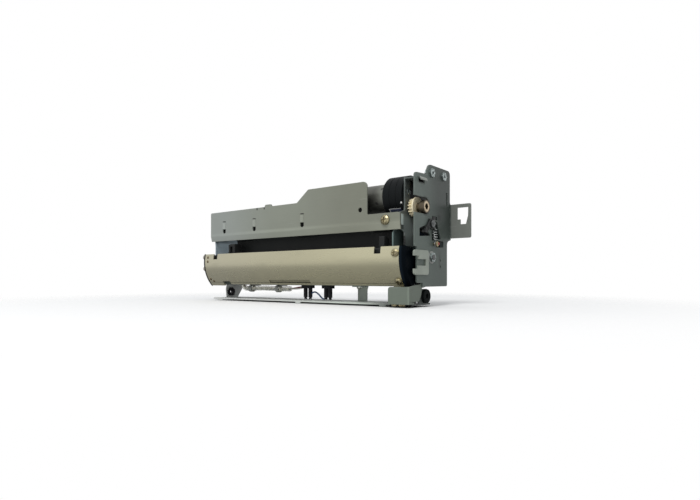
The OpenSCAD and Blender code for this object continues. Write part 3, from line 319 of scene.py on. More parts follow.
def plate_painted_light_and_patches(place):
    """Painted shade to the rear, high up and round the drive's cut, two darker patches, and a louvre with
    painted shade and a highlight.
    """
    x, y, z = (along(place, axis) for axis in "XYZ")
    on_plate = 1 - between(x, 121.6 * mm, 123 * mm)
    # Painted shade to the rear and high up.
    light = on_plate * between(y, 10 * mm, 42 * mm) * (-0.21 - 0.37 * between(z, 35 * mm, 75 * mm))
    # A dark ring of painted shade round the cut for the drive.
    drive_cut_shade = 1 - between(away_from(place, drive_cut), 6.8 * mm, 8.6 * mm)
    dark_patches = strip(y, 39.5 * mm, 42.5 * mm, 1.5 * mm) * strip(z, 31 * mm, 43 * mm, 3 * mm) * 0.28
    dark_patches = dark_patches + strip(y, 37 * mm, 43 * mm, 2 * mm) * strip(z, 70 * mm, 75 * mm, 2 * mm) * 0.20
    # Painted shade under the louvre, and a painted highlight on its lip.
    under_louvre_shade = strip(y, 7 * mm, 16 * mm, 0.4 * mm) * strip(z, 96.4 * mm, 98.6 * mm, 0.3 * mm)
    louvre_lip_highlight = between(x, 122.3 * mm, 122.8 * mm) * between(z, 97 * mm, 98 * mm)
    louvre_lip_highlight = louvre_lip_highlight * (1 - between(y, 16 * mm, 18 * mm))
    return light - 0.45 * drive_cut_shade - dark_patches - 0.6 * under_louvre_shade + 0.5 * louvre_lip_highlight


plate_then_ear = [(121.6, (0.102, 0.127, 0.112, 1)), (123, (0.165, 0.176, 0.158, 1))]
plate_grey = coated_sheet("plate grey coat", plate_then_ear, pale_steel, 0.46, plate_painted_light_and_patches)
print(plate_grey.name)

# %% [markdown]
# ## Front panel
#
# The panel has the same coat, and its pressed shapes are painted with light and shade. The bend above
# the folded lip and the lip itself have a painted highlight, the lip most of all at the right end. Each
# lanced bridge has a painted highlight, with a dark line of painted shade where the sheet parted. Two
# slits in the upper edge and the cut right end are painted dark, as their shade. All this could be cut
# into the sheet, but it is about as fine as the sheet is thick, so it is painted.

# %% Panel with painted highlights on its bend and bridges
bridges = (-102.8, -57.7, 5.5)
slits = (-53.5, -43.5)


def panel_painted_light(place):
    """Painted highlights on the bend, the lip and the bridges, and painted shade in the lines, the slits
    and the cut end.
    """
    x = along(place, "X")
    z = along(place, "Z")
    # A painted highlight along the bend, strongest left of the middle.
    bend = strip(z, 66 * mm, 68.6 * mm, 1.2 * mm)
    bend_highlight_spread = between(x, -100 * mm, -35 * mm) * (1 - 0.7 * between(x, -5 * mm, 60 * mm))
    light = bend * (0.10 + 0.14 * bend_highlight_spread)
    # Painted light on the lip, growing to the right, and on the right end below the bend.
    light = light + (1 - between(z, 65.4 * mm, 66.2 * mm)) * (0.08 + 0.14 * between(x, -80 * mm, 60 * mm))
    light = light + (1 - between(z, 66 * mm, 67.6 * mm)) * between(x, 60 * mm, 106 * mm) * 0.28
    # Each bridge has a painted highlight, and the line above it painted shade.
    for bar in bridges:
        across = strip(x, (bar - 2.1) * mm, (bar + 2.1) * mm, 0.3 * mm)
        light = light + across * strip(z, 72.7 * mm, 79.7 * mm, 0.2 * mm) * 0.22
        light = light - across * strip(z, 79.8 * mm, 80.9 * mm, 0.15 * mm) * 0.9
    # Painted shade along the cut right end.
    light = light - between(x, 108.4 * mm, 108.8 * mm) * (1 - 0.5 * between(z, 64.5 * mm, 65.5 * mm))
    # The two slits are painted dark, as their shade.
    for slit in slits:
        across = strip(x, (slit - 0.8) * mm, (slit + 0.8) * mm, 0.2 * mm)
        light = light - across * between(z, 87.8 * mm, 89.4 * mm) * 0.9
    return light


cool_to_warm = [
    (-115, (0.270, 0.292, 0.272, 1)), (-20, (0.229, 0.244, 0.202, 1)), (70, (0.192, 0.199, 0.158, 1))
]
panel_grey = coated_sheet("panel grey coat", cool_to_warm, pale_steel, 0.50, panel_painted_light)
print(panel_grey.name)

# %% [markdown]
# ## Champagne cover of the door
#
# The door's cover is the piece a customer sees: rolled sheet with a satin champagne finish. A paint
# that goes from pale to olive would look right once, but its bright band would turn with the door.
# So it is mostly metal and mirrors the room softly: bright along the top, which shows the sky, and
# olive lower down, which shows the table. Its right half also has a painted highlight along the top
# and painted shade below it. Fine lines run along its length, each screw has pressed a faint ring into
# the finish, and the groove and the hem are painted dark, as their shade.

# %% Champagne satin
hinge_y, hinge_z = 27.5 * mm, 39.3 * mm
screws_at = ((108.9, -7.4, 41.9), (108.9, -1.7, 20.0))
champagne, place = new_finish("champagne satin")
_, edge = soft_edge(place, 0.3 * mm)
cloud = grain(place, 34 * mm, (0.4, 1, 1))
lines = grain(place, 0.45 * mm, (0.012, 1, 1))
smear = between(grain(place, 9 * mm, (0.35, 1, 1)), 0.52, 0.74)
rings = 0
for screw in screws_at:
    far = away_from(place, screw)
    rings = rings + between(far, 3.0 * mm, 3.5 * mm) * (1 - between(far, 3.7 * mm, 4.4 * mm))
x = along(place, "X")
up = along(place, "Z") - hinge_z
out = hinge_y - along(place, "Y")
round_door = place.node("ShaderNodeMath", {"operation": "ARCTAN2"}, {0: up, 1: out}) * math.degrees(1)
# The groove and the hem are painted dark, as their shade.
groove_shade = strip(x, -34.5 * mm, 16.5 * mm, 0.3 * mm) * (
    strip(round_door, -37.3, -31.7, 0.3) * 0.34
    + strip(round_door, -32.5, -31.7, 0.3) * 0.3
    + strip(round_door, -37.3, -36.3, 0.3) * 0.3
)
hem_shade = strip(round_door, -37.2, -36.2, 0.3) * 0.42
colour = mix(between(x, -120 * mm, 40 * mm), (0.440, 0.418, 0.312, 1), (0.452, 0.428, 0.296, 1))
# A painted highlight along the top of the right half, and painted shade below it.
painted_sheen = between(x, 0, 100 * mm) * (0.17 * between(round_door, -6, 2) - 0.06)
light = 0.92 + painted_sheen + 0.12 * cloud + 0.04 * lines - 0.05 * smear - 0.2 * rings - groove_shade - hem_shade
colour = tone(colour, light)
bare = edge * between(grain(place, 4 * mm), 0.4, 0.6) * 0.5
dress(champagne, {
    "Base Color": mix(bare, colour, (0.62, 0.60, 0.52, 1)),
    "Metallic": 0.72 + 0.1 * cloud,
    "Roughness": 0.26 + 0.10 * (cloud - 0.5) + 0.06 * smear + 0.02 * lines,
    "Normal": bumped(lines, 0.0004 * mm),
    "Specular IOR Level": 0.4,
})
print(champagne.name)

# %% [markdown]
# ## Black mouldings
#
# The end cap, tray, flap, gearbox and plugs are injection moulded. Black nylon isn't one black:
# the cap is the deepest and has a cold cast, the tray is matt so that notes slide, and the gearbox
# has a faint sheen. A mould's spark-eroded texture is a fine orange peel, and corners that have been
# handled shine a little. One flat black could serve for all, but then the pieces would melt into one
# another. The pale plastics, such as the glide and the clips, come from the same recipe.

# %% Moulded plastics
def moulding(name, colour, worn, rough, peel, gloss=0.4, pale=None):
    """Moulded plastic with a peel of a given size and a second colour for worn corners."""
    material, place = new_finish(name)
    normal, edge = soft_edge(place, 0.3 * mm)
    cloud = grain(place, 12 * mm)
    texture = grain(place, peel, detail=2.0)
    dust = between(grain(place, 2.2 * mm), 0.56, 0.80)
    rubbed = edge * 0.45 + dust * 0.10
    light = 0.75 + 0.5 * cloud
    return dress(material, {
        "Base Color": mix(rubbed, tone(colour, light + pale(place) if pale else light), worn),
        "Roughness": rough + 0.14 * (cloud - 0.5) + 0.10 * dust,
        "Normal": bumped(texture, 0.02 * mm, normal),
        "Specular IOR Level": gloss,
    })


def cap_rim_painted_light(place):
    """Painted light: the cap's rim, which faces the light, is greyer than its end."""
    return 2.2 * (1 - between(along(place, "X"), 113.6 * mm, 115.4 * mm))


def shaded_end(place):
    """The flap's right end, deep in the corner, is blacker than the rest."""
    end = strip(along(place, "X"), 82 * mm, 100 * mm, 1.5 * mm)
    return end * between(along(place, "Y"), 13 * mm, 14 * mm) * -0.62


cap_black = moulding(
    "cap black", (0.0020, 0.0034, 0.0050, 1), (0.006, 0.009, 0.012, 1), 0.52, 0.3 * mm, 0.02, cap_rim_painted_light
)
tray_black = moulding(
    "tray black", (0.0150, 0.0165, 0.0160, 1), (0.040, 0.043, 0.042, 1), 0.58, 0.4 * mm, 0.2, shaded_end
)
gearbox_black = moulding(
    "gearbox black", (0.0074, 0.0088, 0.0094, 1), (0.026, 0.029, 0.030, 1), 0.50, 0.35 * mm, 0.07
)
plug_black = moulding(
    "plug black", (0.010, 0.010, 0.012, 1), (0.04, 0.04, 0.04, 1), 0.50, 0.3 * mm, 0.15
)
rubber = moulding(
    "bush rubber", (0.0055, 0.0070, 0.0072, 1), (0.022, 0.025, 0.025, 1), 0.72, 0.5 * mm, 0.06
)
ivory = moulding("ivory plastic", (0.60, 0.58, 0.50, 1), (0.70, 0.69, 0.63, 1), 0.45, 0.4 * mm)
glide_grey = moulding("glide grey", (0.284, 0.314, 0.268, 1), (0.38, 0.40, 0.37, 1), 0.46, 0.4 * mm)
clip_grey = moulding("clip grey", (0.30, 0.31, 0.29, 1), (0.40, 0.41, 0.39, 1), 0.5, 0.4 * mm)
knob_grey = moulding("knob grey", (0.30, 0.275, 0.24, 1), (0.42, 0.40, 0.36, 1), 0.42, 0.4 * mm)
print("nine moulded finishes")

# %% [markdown]
# ## Bare and plated metals
#
# Pins and shafts are ground, so their lines run round them. Screws are plated in yellow or clear
# zinc, which dulls in patches. The spring's post is turned brass gone brown, and the lever is
# blackened. Each could have its own finish, but they age alike, so one recipe covers them all:
# a metal with turning lines, tarnish in patches and brighter edges.

# %% Turned and plated metals
turned_round_x = (1, 0.06, 0.06)
no_lines = (1, 1, 1)


def metal(
    name, bright, dull, rough, stretch=turned_round_x, line=0.25 * mm, shine=1.0, patches=3.5 * mm
):
    """Metal with fine lines that goes from bright to dull in patches of a given size."""
    material, place = new_finish(name)
    normal, edge = soft_edge(place, 0.15 * mm)
    turned = grain(place, line, stretch, 2.0)
    patch = between(grain(place, patches), 0.40, 0.68)
    tarnish = patch * 0.75 + 0.25 * turned
    return dress(material, {
        "Base Color": mix(tarnish * (1 - 0.7 * edge), bright, dull),
        "Metallic": shine,
        "Roughness": rough + 0.20 * tarnish + 0.08 * (turned - 0.5),
        "Normal": bumped(turned, 0.012 * mm, normal),
    })


ground_steel = metal(
    "ground steel", (0.46, 0.47, 0.47, 1), (0.38, 0.39, 0.39, 1), 0.28, patches=24 * mm
)
spring_steel = metal("spring steel", (0.46, 0.48, 0.47, 1), (0.16, 0.17, 0.165, 1), 0.28, no_lines)
clear_zinc = metal(
    "clear zinc", (0.46, 0.52, 0.51, 1), (0.10, 0.120, 0.12, 1), 0.30, no_lines, patches=1.4 * mm
)
bright_zinc = metal("bright zinc", (0.80, 0.79, 0.72, 1), (0.45, 0.44, 0.40, 1), 0.22, no_lines)
yellow_zinc = metal(
    "yellow zinc", (0.46, 0.41, 0.25, 1), (0.15, 0.13, 0.085, 1), 0.30, no_lines, patches=1.6 * mm
)
pin_steel = metal("pin steel", (0.20, 0.21, 0.21, 1), (0.07, 0.075, 0.075, 1), 0.22)
rivet_brown = metal("brown rivets", (0.17, 0.13, 0.08, 1), (0.08, 0.06, 0.04, 1), 0.40, no_lines)
brass = metal("turned brass", (0.42, 0.35, 0.20, 1), (0.24, 0.19, 0.12, 1), 0.34)
black_oxide = metal(
    "black oxide", (0.034, 0.036, 0.035, 1), (0.014, 0.015, 0.015, 1), 0.40, no_lines, 0.4 * mm, 0.6
)
print("nine metal finishes")

# %% [markdown]
# ## Drive pinion
#
# The pinion is one brass turning, but it has aged in bands. The teeth and the flange are lacquered
# a dull cream, the neck and the collar beside them are brown with old grease, and only the ring
# round the collar's socket is polished by the tool that turns it by hand. It could be cut into
# several pieces with a metal each, but it is one turning, so one finish changes along X, the axis
# it was turned about.

# %% Brass in bands
collar_end = (122.7, 17.2, 79)
drive_brass, place = new_finish("aged drive brass")
normal, edge = soft_edge(place, 0.15 * mm)
turned = grain(place, 0.25 * mm, turned_round_x, 2.0)
patch = between(grain(place, 3 * mm), 0.40, 0.70)
x = along(place, "X")
bare = between(x, 114.7 * mm, 115.1 * mm)
colour = mix(bare, (0.92, 0.82, 0.58, 1), (0.12, 0.095, 0.06, 1))
colour = mix(between(x, 118.5 * mm, 119.1 * mm), colour, (0.105, 0.085, 0.058, 1))
polished = between(x, 122.5 * mm, 122.65 * mm)
polished = polished * (1 - between(away_from(place, collar_end), 3.9 * mm, 4.3 * mm))
colour = mix(polished, colour, (0.60, 0.49, 0.34, 1))
dress(drive_brass, {
    "Base Color": tone(colour, 0.92 + 0.22 * turned - 0.22 * patch + 0.3 * edge),
    "Metallic": 0.1 + 0.65 * bare,
    "Roughness": 0.34 + 0.16 * patch + 0.08 * (turned - 0.5),
    "Normal": bumped(turned, 0.012 * mm, normal),
})
print(drive_brass.name)

# %% [markdown]
# ## Motor can
#
# The motor's can is drawn steel, dull grey, with a fine grain round it. It has painted shade away
# from the gearbox and underneath. Two small dark dimples show on its front, where the magnets are
# staked. They could be cut into the can, but they are hardly deeper than its skin, so they are spots
# painted near black, as their shade, with a dip.

# %% Drawn can with staked dimples
stakes_at = ((79.6, 10.4, 84.0), (84.3, 11.5, 96.0))
can_steel, place = new_finish("motor can steel")
normal, _ = soft_edge(place, 0.3 * mm)
drawn = grain(place, 0.3 * mm, (1, 0.08, 0.08))
cloud = grain(place, 8 * mm)
dimples = 0
# Each dimple is painted near black, as its shade.
for spot in stakes_at:
    dimples = dimples + (1 - between(away_from(place, spot), 1.0 * mm, 1.5 * mm))
# Painted shade: darker away from the gearbox and underneath.
shade = between(along(place, "X"), 76 * mm, 86 * mm) * between(along(place, "Z"), 76 * mm, 90 * mm)
colour = tone((0.185, 0.190, 0.165, 1), 0.28 + 0.50 * shade + 0.24 * cloud + 0.14 * drawn)
dress(can_steel, {
    "Base Color": mix(dimples * 0.9, colour, (0.02, 0.02, 0.02, 1)),
    "Metallic": 0.6 - 0.5 * dimples,
    "Roughness": 0.40 + 0.14 * (cloud - 0.5) + 0.08 * drawn,
    "Normal": bumped(drawn - dimples * 6, 0.02 * mm, normal),
})
print(can_steel.name)

# %% [markdown]
# ## Threaded shaft end
#
# The door's shaft is ground steel, cut with a thread where it passes the right side plate, and the
# thread is darker. A modelled thread would take thousands of faces. It is half a millimetre deep at
# most and mostly inside the nut, so a ripple along X in the shading is enough.

# %% Ground shaft with a thread
thread_pitch = 0.7 * mm
shaft_steel, place = new_finish("shaft steel")
normal, _ = soft_edge(place, 0.15 * mm)
turned = grain(place, 0.25 * mm, turned_round_x, 2.0)
x = along(place, "X")
ripple = place.node("ShaderNodeMath", {"operation": "SINE"}, {0: x * (2 * math.pi / thread_pitch)})
threaded = between(x, 121.6 * mm, 121.8 * mm)
patch = between(grain(place, 20 * mm), 0.4, 0.7)
colour = mix(patch, (0.50, 0.51, 0.51, 1), (0.40, 0.41, 0.41, 1))
dress(shaft_steel, {
    "Base Color": tone(colour, 1 - 0.72 * threaded),
    "Metallic": 1.0,
    "Roughness": 0.26 + 0.16 * turned + 0.1 * threaded,
    "Normal": bumped(turned * 0.1 + ripple * threaded * 4, 0.05 * mm, normal),
})
print(shaft_steel.name)

# %% [markdown]
# ## Wire insulation, film and paint
#
# The leads have soft plastic insulation with a waxy sheen and grubby patches. The dabs of paint and
# lacquer, which a fitter leaves to show that a screw has been set, come from the same recipe. The
# sleeve round the leads is a thin clear film gone milky. It could be made as glass, but glass is slow
# and adds little at this size, so the film lets part of the light through, less where it is creased.

# %% Insulation, film and paint
def insulation(name, colour, grubby, rough=0.42):
    """Soft plastic or paint with a second colour for grubby patches."""
    material, place = new_finish(name)
    dirt = between(grain(place, 3 * mm), 0.45, 0.75)
    texture = grain(place, 0.35 * mm, detail=2.0)
    normal, edge = soft_edge(place, 0.1 * mm)
    return dress(material, {
        "Base Color": mix(dirt * 0.5 + edge * 0.1, tone(colour, 0.9 + 0.2 * texture), grubby),
        "Roughness": rough + 0.2 * dirt,
        "Normal": bumped(texture, 0.01 * mm, normal),
    })


lead_ivory = insulation("white insulation", (0.66, 0.64, 0.58, 1), (0.42, 0.39, 0.33, 1))
lead_rose = insulation("red insulation", (0.42, 0.09, 0.12, 1), (0.25, 0.07, 0.08, 1))
lead_navy = insulation("blue insulation", (0.020, 0.060, 0.150, 1), (0.02, 0.04, 0.08, 1))
white_paint = insulation("white paint", (0.78, 0.78, 0.75, 1), (0.60, 0.60, 0.56, 1), 0.5)
red_lacquer = insulation("red lacquer", (0.36, 0.04, 0.03, 1), (0.22, 0.03, 0.03, 1), 0.25)

milky_film, place = new_finish("milky film")
crease = grain(place, 1.6 * mm, (1, 0.35, 0.35))
cloud = grain(place, 6 * mm)
dress(milky_film, {
    "Base Color": tone((0.90, 0.90, 0.76, 1), 0.88 + 0.2 * cloud),
    "Roughness": 0.28 + 0.2 * cloud,
    "Alpha": 0.32 + 0.30 * between(crease, 0.4, 0.7),
    "Normal": bumped(crease, 0.25 * mm),
})
print("six soft finishes")

# %% [markdown]
# ## Dressing the solid pieces
#
# Each solid piece takes the finish that its real counterpart has. Every piece could have one of its
# own, but pieces that come from one bin, such as the yellow screws, look alike because they share one.

# %% Give each solid piece its finish
finishes = {
    panel_grey: ["front_panel"],
    base_grey: ["base_plate"],
    corner_grey: ["corner_bracket"],
    plate_grey: ["side_plate_right"],
    bracket_grey: ["motor_bracket", "lower_channel"],
    blue_grey: ["side_plate_left"],
    inner_grey: ["inner_plate"],
    champagne: ["door_cover"],
    cap_black: ["door_end_right"],
    tray_black: ["note_tray", "flap", "idler_gear", "upper_guide"],
    gearbox_black: ["gearbox"],
    plug_black: ["sensor_boots", "lug_bush_left"],
    rubber: ["lug_bush_right"],
    ivory: ["shaft_bush_left"],
    knob_grey: ["end_knobs"],
    glide_grey: ["edge_glide"],
    clip_grey: ["harness_clips", "shaft_bush_right"],
    ground_steel: ["tie_rod", "flap_pin", "idler_pin"],
    shaft_steel: ["door_shaft"],
    clear_zinc: ["plate_fasteners", "shaft_nut", "gearbox_screws"],
    pin_steel: ["lever_pin"],
    bright_zinc: ["upright_screws"],
    yellow_zinc: ["cover_screws", "panel_screw", "corner_screws", "tray_screws", "tie_screws"],
    rivet_brown: ["cover_rivets"],
    brass: ["spring_post"],
    drive_brass: ["drive_pinion"],
    black_oxide: ["door_end_left", "latch_lever"],
    can_steel: ["motor_can"],
}
for material, names in finishes.items():
    for name in names:
        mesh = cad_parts[name].data
        mesh.materials.clear()
        mesh.materials.append(material)
print(sum(len(names) for names in finishes.values()), "pieces dressed")

# %% [markdown]
# ## Making round wire
#
# Springs and leads are wire, drawn through a die and bent. They could be built from short cylinders,
# but those show at every bend. A tube along a smooth line through a few given points is the
# same thing as wire, and its width can change on the way, which the crinkled sleeve needs. The
# points are millimetres in the shared frame.

# %% Tube along a smooth line
def only(obj):
    """Makes the object the active one and the only one selected."""
    bpy.ops.object.select_all(action="DESELECT")
    obj.select_set(True)
    bpy.context.view_layer.objects.active = obj


def smooth_line(points, steps):
    """A curve that goes through all the points."""
    ends = [points[0], *points, points[-1]]
    line = []
    for a, b, c, d in zip(ends, ends[1:], ends[2:], ends[3:]):
        a, b, c, d = Vector(a), Vector(b), Vector(c), Vector(d)
        for k in range(steps):
            t = k / steps
            line.append(0.5 * (
                2 * b + (c - a) * t
                + (2 * a - 5 * b + 4 * c - d) * t ** 2
                + (3 * b - a - 3 * c + d) * t ** 3
            ))
    return [*line, Vector(points[-1])]


def pick_faces(obj, wanted):
    """Selects the faces that pass a test and stays in edit mode."""
    only(obj)
    bpy.ops.object.mode_set(mode="EDIT")
    bpy.ops.mesh.select_mode(type="FACE")
    bpy.ops.mesh.select_all(action="DESELECT")
    bpy.ops.object.mode_set(mode="OBJECT")
    for face in obj.data.polygons:
        face.select = wanted(face)
    bpy.ops.object.mode_set(mode="EDIT")


def settle(obj, material):
    """Puts the piece's place into its mesh, turns its faces outward and gives it its finish."""
    only(obj)
    bpy.ops.object.transform_apply(location=True, rotation=True, scale=True)
    bpy.ops.object.mode_set(mode="EDIT")
    bpy.ops.mesh.select_all(action="SELECT")
    bpy.ops.mesh.normals_make_consistent(inside=False)
    bpy.ops.object.mode_set(mode="OBJECT")
    bpy.ops.object.shade_smooth_by_angle(angle=math.radians(40))
    obj.data.materials.clear()
    obj.data.materials.append(material)
    print(obj.name, len(obj.data.polygons), "faces")


def tube(name, line, width, swell=None):
    """Wire of a given width along a line, wider or narrower where swell says so."""
    curve = bpy.data.curves.new(name, "CURVE")
    curve.dimensions = "3D"
    curve.bevel_depth = width / 2 * mm
    curve.bevel_resolution = 4
    curve.use_fill_caps = True
    spline = curve.splines.new("POLY")
    spline.points.add(len(line) - 1)
    for k, (spot, point) in enumerate(zip(spline.points, line)):
        spot.co = (*(Vector(point) * mm), 1)
        spot.radius = swell(k) if swell else 1
    obj = bpy.data.objects.new(name, curve)
    bpy.context.collection.objects.link(obj)
    only(obj)
    bpy.ops.object.convert(target="MESH")
    return bpy.context.object


print("wire tools ready")

# %% [markdown]
# ## Spring of the latch lever
#
# A small extension spring pulls the lever back. It is drawn out, so its coils stand open. Its upper
# end is bent into the lever's hole and its lower end is a closed loop round the brass post. A screw
# modifier would wind the coils but not their ends, so the wire's path is worked out point by point
# as one unbroken length: hook, coils, loop.

# %% Measure the spring
hook = Vector((123.0, 29.0, 63.4))
post = Vector((123.0, 31.8, 50.2))
post_radius = 1.2
wire = 0.7
clear = 0.08
coil_radius = 1.75
turns = 4
pitch = 1.95
loop_radius = post_radius + wire / 2 + clear
pull = (post - hook).normalized()
side = Vector((1, 0, 0))
cross = pull.cross(side)
free = (post - hook).length - loop_radius
coil = turns * pitch
lead = (free - coil) / 2
print("spring", round(free, 2), "mm, of which coils", coil)


def on_spring(s, r, turn):
    """A point s along the spring's axis and r away from it."""
    return hook + pull * s + (cross * math.cos(turn) + side * math.sin(turn)) * r


# %% Wind the spring
turn_steps = 28
loop_steps = 32
loop_angle = math.radians(330)
line = smooth_line([
    hook + Vector((-0.9, 0, 0)),
    hook + Vector((-0.2, 0, 0)),
    hook + Vector((0.35, 0, 0)) + pull * 0.15,
    hook + Vector((0.55, 0, 0)) + pull * 0.6,
    on_spring(lead * 0.6, coil_radius * 0.45, math.radians(60)),
], 6)
for k in range(turns * turn_steps + 1):
    s = lead + coil * k / (turns * turn_steps)
    line.append(on_spring(s, coil_radius, 2 * math.pi * k / turn_steps + math.radians(90)))
line += smooth_line([
    line[-1],
    on_spring(lead + coil + lead * 0.5, coil_radius * 0.5, math.radians(120)),
    post - pull * (loop_radius + 0.35) + side * 0.1,
], 6)[1:]
start = math.atan2(-pull.z, -pull.y)
for k in range(1, loop_steps + 1):
    turn = start + loop_angle * k / loop_steps
    round_post = (loop_radius * math.cos(turn), loop_radius * math.sin(turn))
    line.append(post + Vector((-0.35 * k / loop_steps, *round_post)))
spring = tube("lever_spring_wire", line, wire)
settle(spring, spring_steel)
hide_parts("lever_spring")
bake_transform(spring)

# %% [markdown]
# ## Leads to the plugs
#
# Three thin leads run to the two plugs below the channel, each about a millimetre and a half thick.
# Straight cylinders would be simpler, but a lead has some stiffness and hangs in a slow bend, so each
# is a tube through points along its path.

# %% Three leads
lead_width = 1.4
white_points = [
    (-19.9, 11.2, 12.6), (-15, 11.2, 12.6), (-10, 10.9, 12.8), (-5, 10.6, 13.3), (-1.7, 10.4, 13.9)
]
red_points = [
    (-19.9, 12.9, 12.6), (-15, 12.9, 13.3), (-10, 12.7, 14.0), (-5, 12.4, 14.5), (-1.7, 12.1, 14.7)
]
blue_points = [
    (8.75, 10, 9), (10.6, 10.2, 9.9), (13, 10.6, 9.8), (16, 10.9, 8), (18.6, 10.8, 5.8),
    (20.8, 10.5, 4.4), (22.1, 10.2, 4.1), (23.8, 10, 4.2),
]
for name, points, material, slot, node in (
    ("white_lead", white_points, lead_ivory, "wire_white", "lead_white"),
    ("red_lead", red_points, lead_rose, "wire_red", "lead_red"),
    ("blue_lead", blue_points, lead_navy, "wire_blue", "lead_blue"),
):
    lead_wire = tube(name, smooth_line(points, 16), lead_width)
    settle(lead_wire, material)
    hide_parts(node)
    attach(lead_wire, "frame")

# %% [markdown]
# ## Sleeve of the harness
#
# A milky sleeve gathers the leads on the left, held by two clips. It has slipped into wrinkles, as
# such film does when it is pushed along wires, and the wires can be made out inside it. Cloth
# simulation could wrinkle it, but three waves of different lengths along a tube give the same uneven
# width, and the same one each time.

# %% Sleeve and the wires inside it
sleeve_width = 5.0
sleeve_points = [
    (-88, 13, 20.5), (-88, 13, 16.8), (-86.2, 12.7, 13.9), (-82, 12.2, 12.4), (-74, 12, 12.4),
    (-55, 12, 12.9), (-36, 12, 12.4), (-28, 12, 12.5), (-20, 12, 12.6),
]
sleeve_line = smooth_line(sleeve_points, 36)


def wrinkle(k):
    """How much wider or narrower the film is at a point of its line."""
    return 1.0 + 0.035 * math.sin(k * 0.9) + 0.025 * math.sin(k * 2.3 + 1.0) + 0.02 * math.sin(k * 0.21)


sleeve = tube("harness_film", sleeve_line, sleeve_width, wrinkle)
settle(sleeve, milky_film)
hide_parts("harness_sleeve")
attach(sleeve, "frame")
for name, shift, material, slot in (
    ("sleeved_white_wire", (0, -0.9, 0.2), lead_ivory, "wire_white"),
    ("sleeved_red_wire", (0, 0.9, 0.1), lead_rose, "wire_red"),
    ("sleeved_blue_wire", (0, 0.1, -1.1), lead_navy, "wire_blue"),
):
    inside = tube(name, [point + Vector(shift) for point in sleeve_line], lead_width)
    settle(inside, material)
    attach(inside, "frame")

# %% [markdown]
# ## Label on the gearbox
#
# A label is wrapped under the gearbox: plain white film with one broad blue band. A flat sheet could
# be bent round, but it is easier to cut the film from a cylinder a hair wider than the gearbox, by
# deleting all the faces that it doesn't cover, and then to give it its thickness.

# %% Film with a blue band
motor_y, motor_z = 21.5 * mm, 89 * mm
label_white, place = new_finish("label film")
out = along(place, "Y") - motor_y
up = along(place, "Z") - motor_z
drop = place.node("ShaderNodeMath", {"operation": "ARCTAN2"}, {0: 0 - up, 1: 0 - out})
band = strip(drop, math.radians(40.9), math.radians(62), math.radians(0.3))
band = band * between(along(place, "X"), 93.9 * mm, 94.1 * mm)
speckle = grain(place, 0.3 * mm, detail=2.0)
worn = between(grain(place, 4 * mm), 0.45, 0.75)
white = tone((0.66, 0.67, 0.66, 1), 0.92 + 0.1 * speckle)
dress(label_white, {
    "Base Color": mix(band * (0.92 - 0.2 * worn), white, (0.020, 0.032, 0.105, 1)),
    "Roughness": 0.34 + 0.18 * worn,
    "Normal": bumped(speckle, 0.01 * mm),
})
print(label_white.name)

# %% Cut the label from a cylinder
film_from, film_to = 38.5, 75
bpy.ops.mesh.primitive_cylinder_add(
    vertices=240, radius=16.82 * mm, depth=10.9 * mm, end_fill_type="NOTHING",
    location=(98.65 * mm, motor_y, motor_z), rotation=(0, math.pi / 2, 0),
)
label = bpy.context.object
label.name = "gearbox_label"
bpy.ops.object.transform_apply(location=True, rotation=True, scale=True)


def off_film(face):
    """Whether a face lies outside the angles that the film covers, counted down from the front."""
    angle = math.degrees(math.atan2(motor_z - face.center.z, motor_y - face.center.y))
    return not film_from < angle < film_to


pick_faces(label, off_film)
bpy.ops.mesh.delete(type="FACE")
bpy.ops.object.mode_set(mode="OBJECT")
film = label.modifiers.new("film", "SOLIDIFY")
film.thickness = 0.07 * mm
film.offset = 1
bpy.ops.object.modifier_apply(modifier=film.name)
settle(label, label_white)
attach(label, "frame")

# %% [markdown]
# ## End bell of the motor
#
# A brush motor is closed at its far end by a moulded black bell: a disc with a stepped face and
# a rounded rim. It could be spun from a profile, but insets of a disc's face give the same steps with
# one line each.

# %% Moulded end bell
bpy.ops.mesh.primitive_cylinder_add(
    vertices=72, radius=11.6 * mm, depth=1.1 * mm,
    location=(56.98 * mm, motor_y, motor_z), rotation=(0, math.pi / 2, 0),
)
bell = bpy.context.object
bell.name = "motor_end_bell"
bpy.ops.object.transform_apply(location=True, rotation=True, scale=True)
pick_faces(bell, lambda face: face.normal.x < -0.9)
for inward, height in ((1.6, 0), (0.3, -0.35), (4.2, 0), (0.3, 0.3)):
    bpy.ops.mesh.inset(thickness=inward * mm, depth=height * mm)
bpy.ops.object.mode_set(mode="OBJECT")
rim = bell.modifiers.new("rim", "BEVEL")
rim.width = 0.25 * mm
rim.segments = 3
rim.limit_method = "ANGLE"
bpy.ops.object.modifier_apply(modifier=rim.name)
settle(bell, plug_black)
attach(bell, "frame")

# %% [markdown]
# ## Dabs of paint
#
# Someone has marked the gearbox with a white dot and locked the spring's post with red lacquer.
# A dab could be sculpted, but it is only a flattened ball with an uneven rim, so a ball is squashed,
# shaken from a fixed seed and smoothed.

# %% White dot and red lacquer
def dab(name, at, width, height, tilt, turn, material):
    """A squashed ball of paint, with its sizes in mm and its turns in degrees."""
    bpy.ops.mesh.primitive_uv_sphere_add(
        segments=24, ring_count=12, radius=0.5 * mm, location=Vector(at) * mm
    )
    obj = bpy.context.object
    obj.name = name
    obj.scale = (width, width, height)
    obj.rotation_euler = (math.radians(tilt), 0, math.radians(turn))
    bpy.ops.object.transform_apply(location=False, rotation=True, scale=True)
    bpy.ops.object.mode_set(mode="EDIT")
    bpy.ops.mesh.select_all(action="SELECT")
    bpy.ops.transform.vertex_random(offset=0.06 * mm, seed=7)
    bpy.ops.mesh.vertices_smooth(factor=0.6, repeat=2)
    bpy.ops.object.mode_set(mode="OBJECT")
    settle(obj, material)
    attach(obj, "frame")


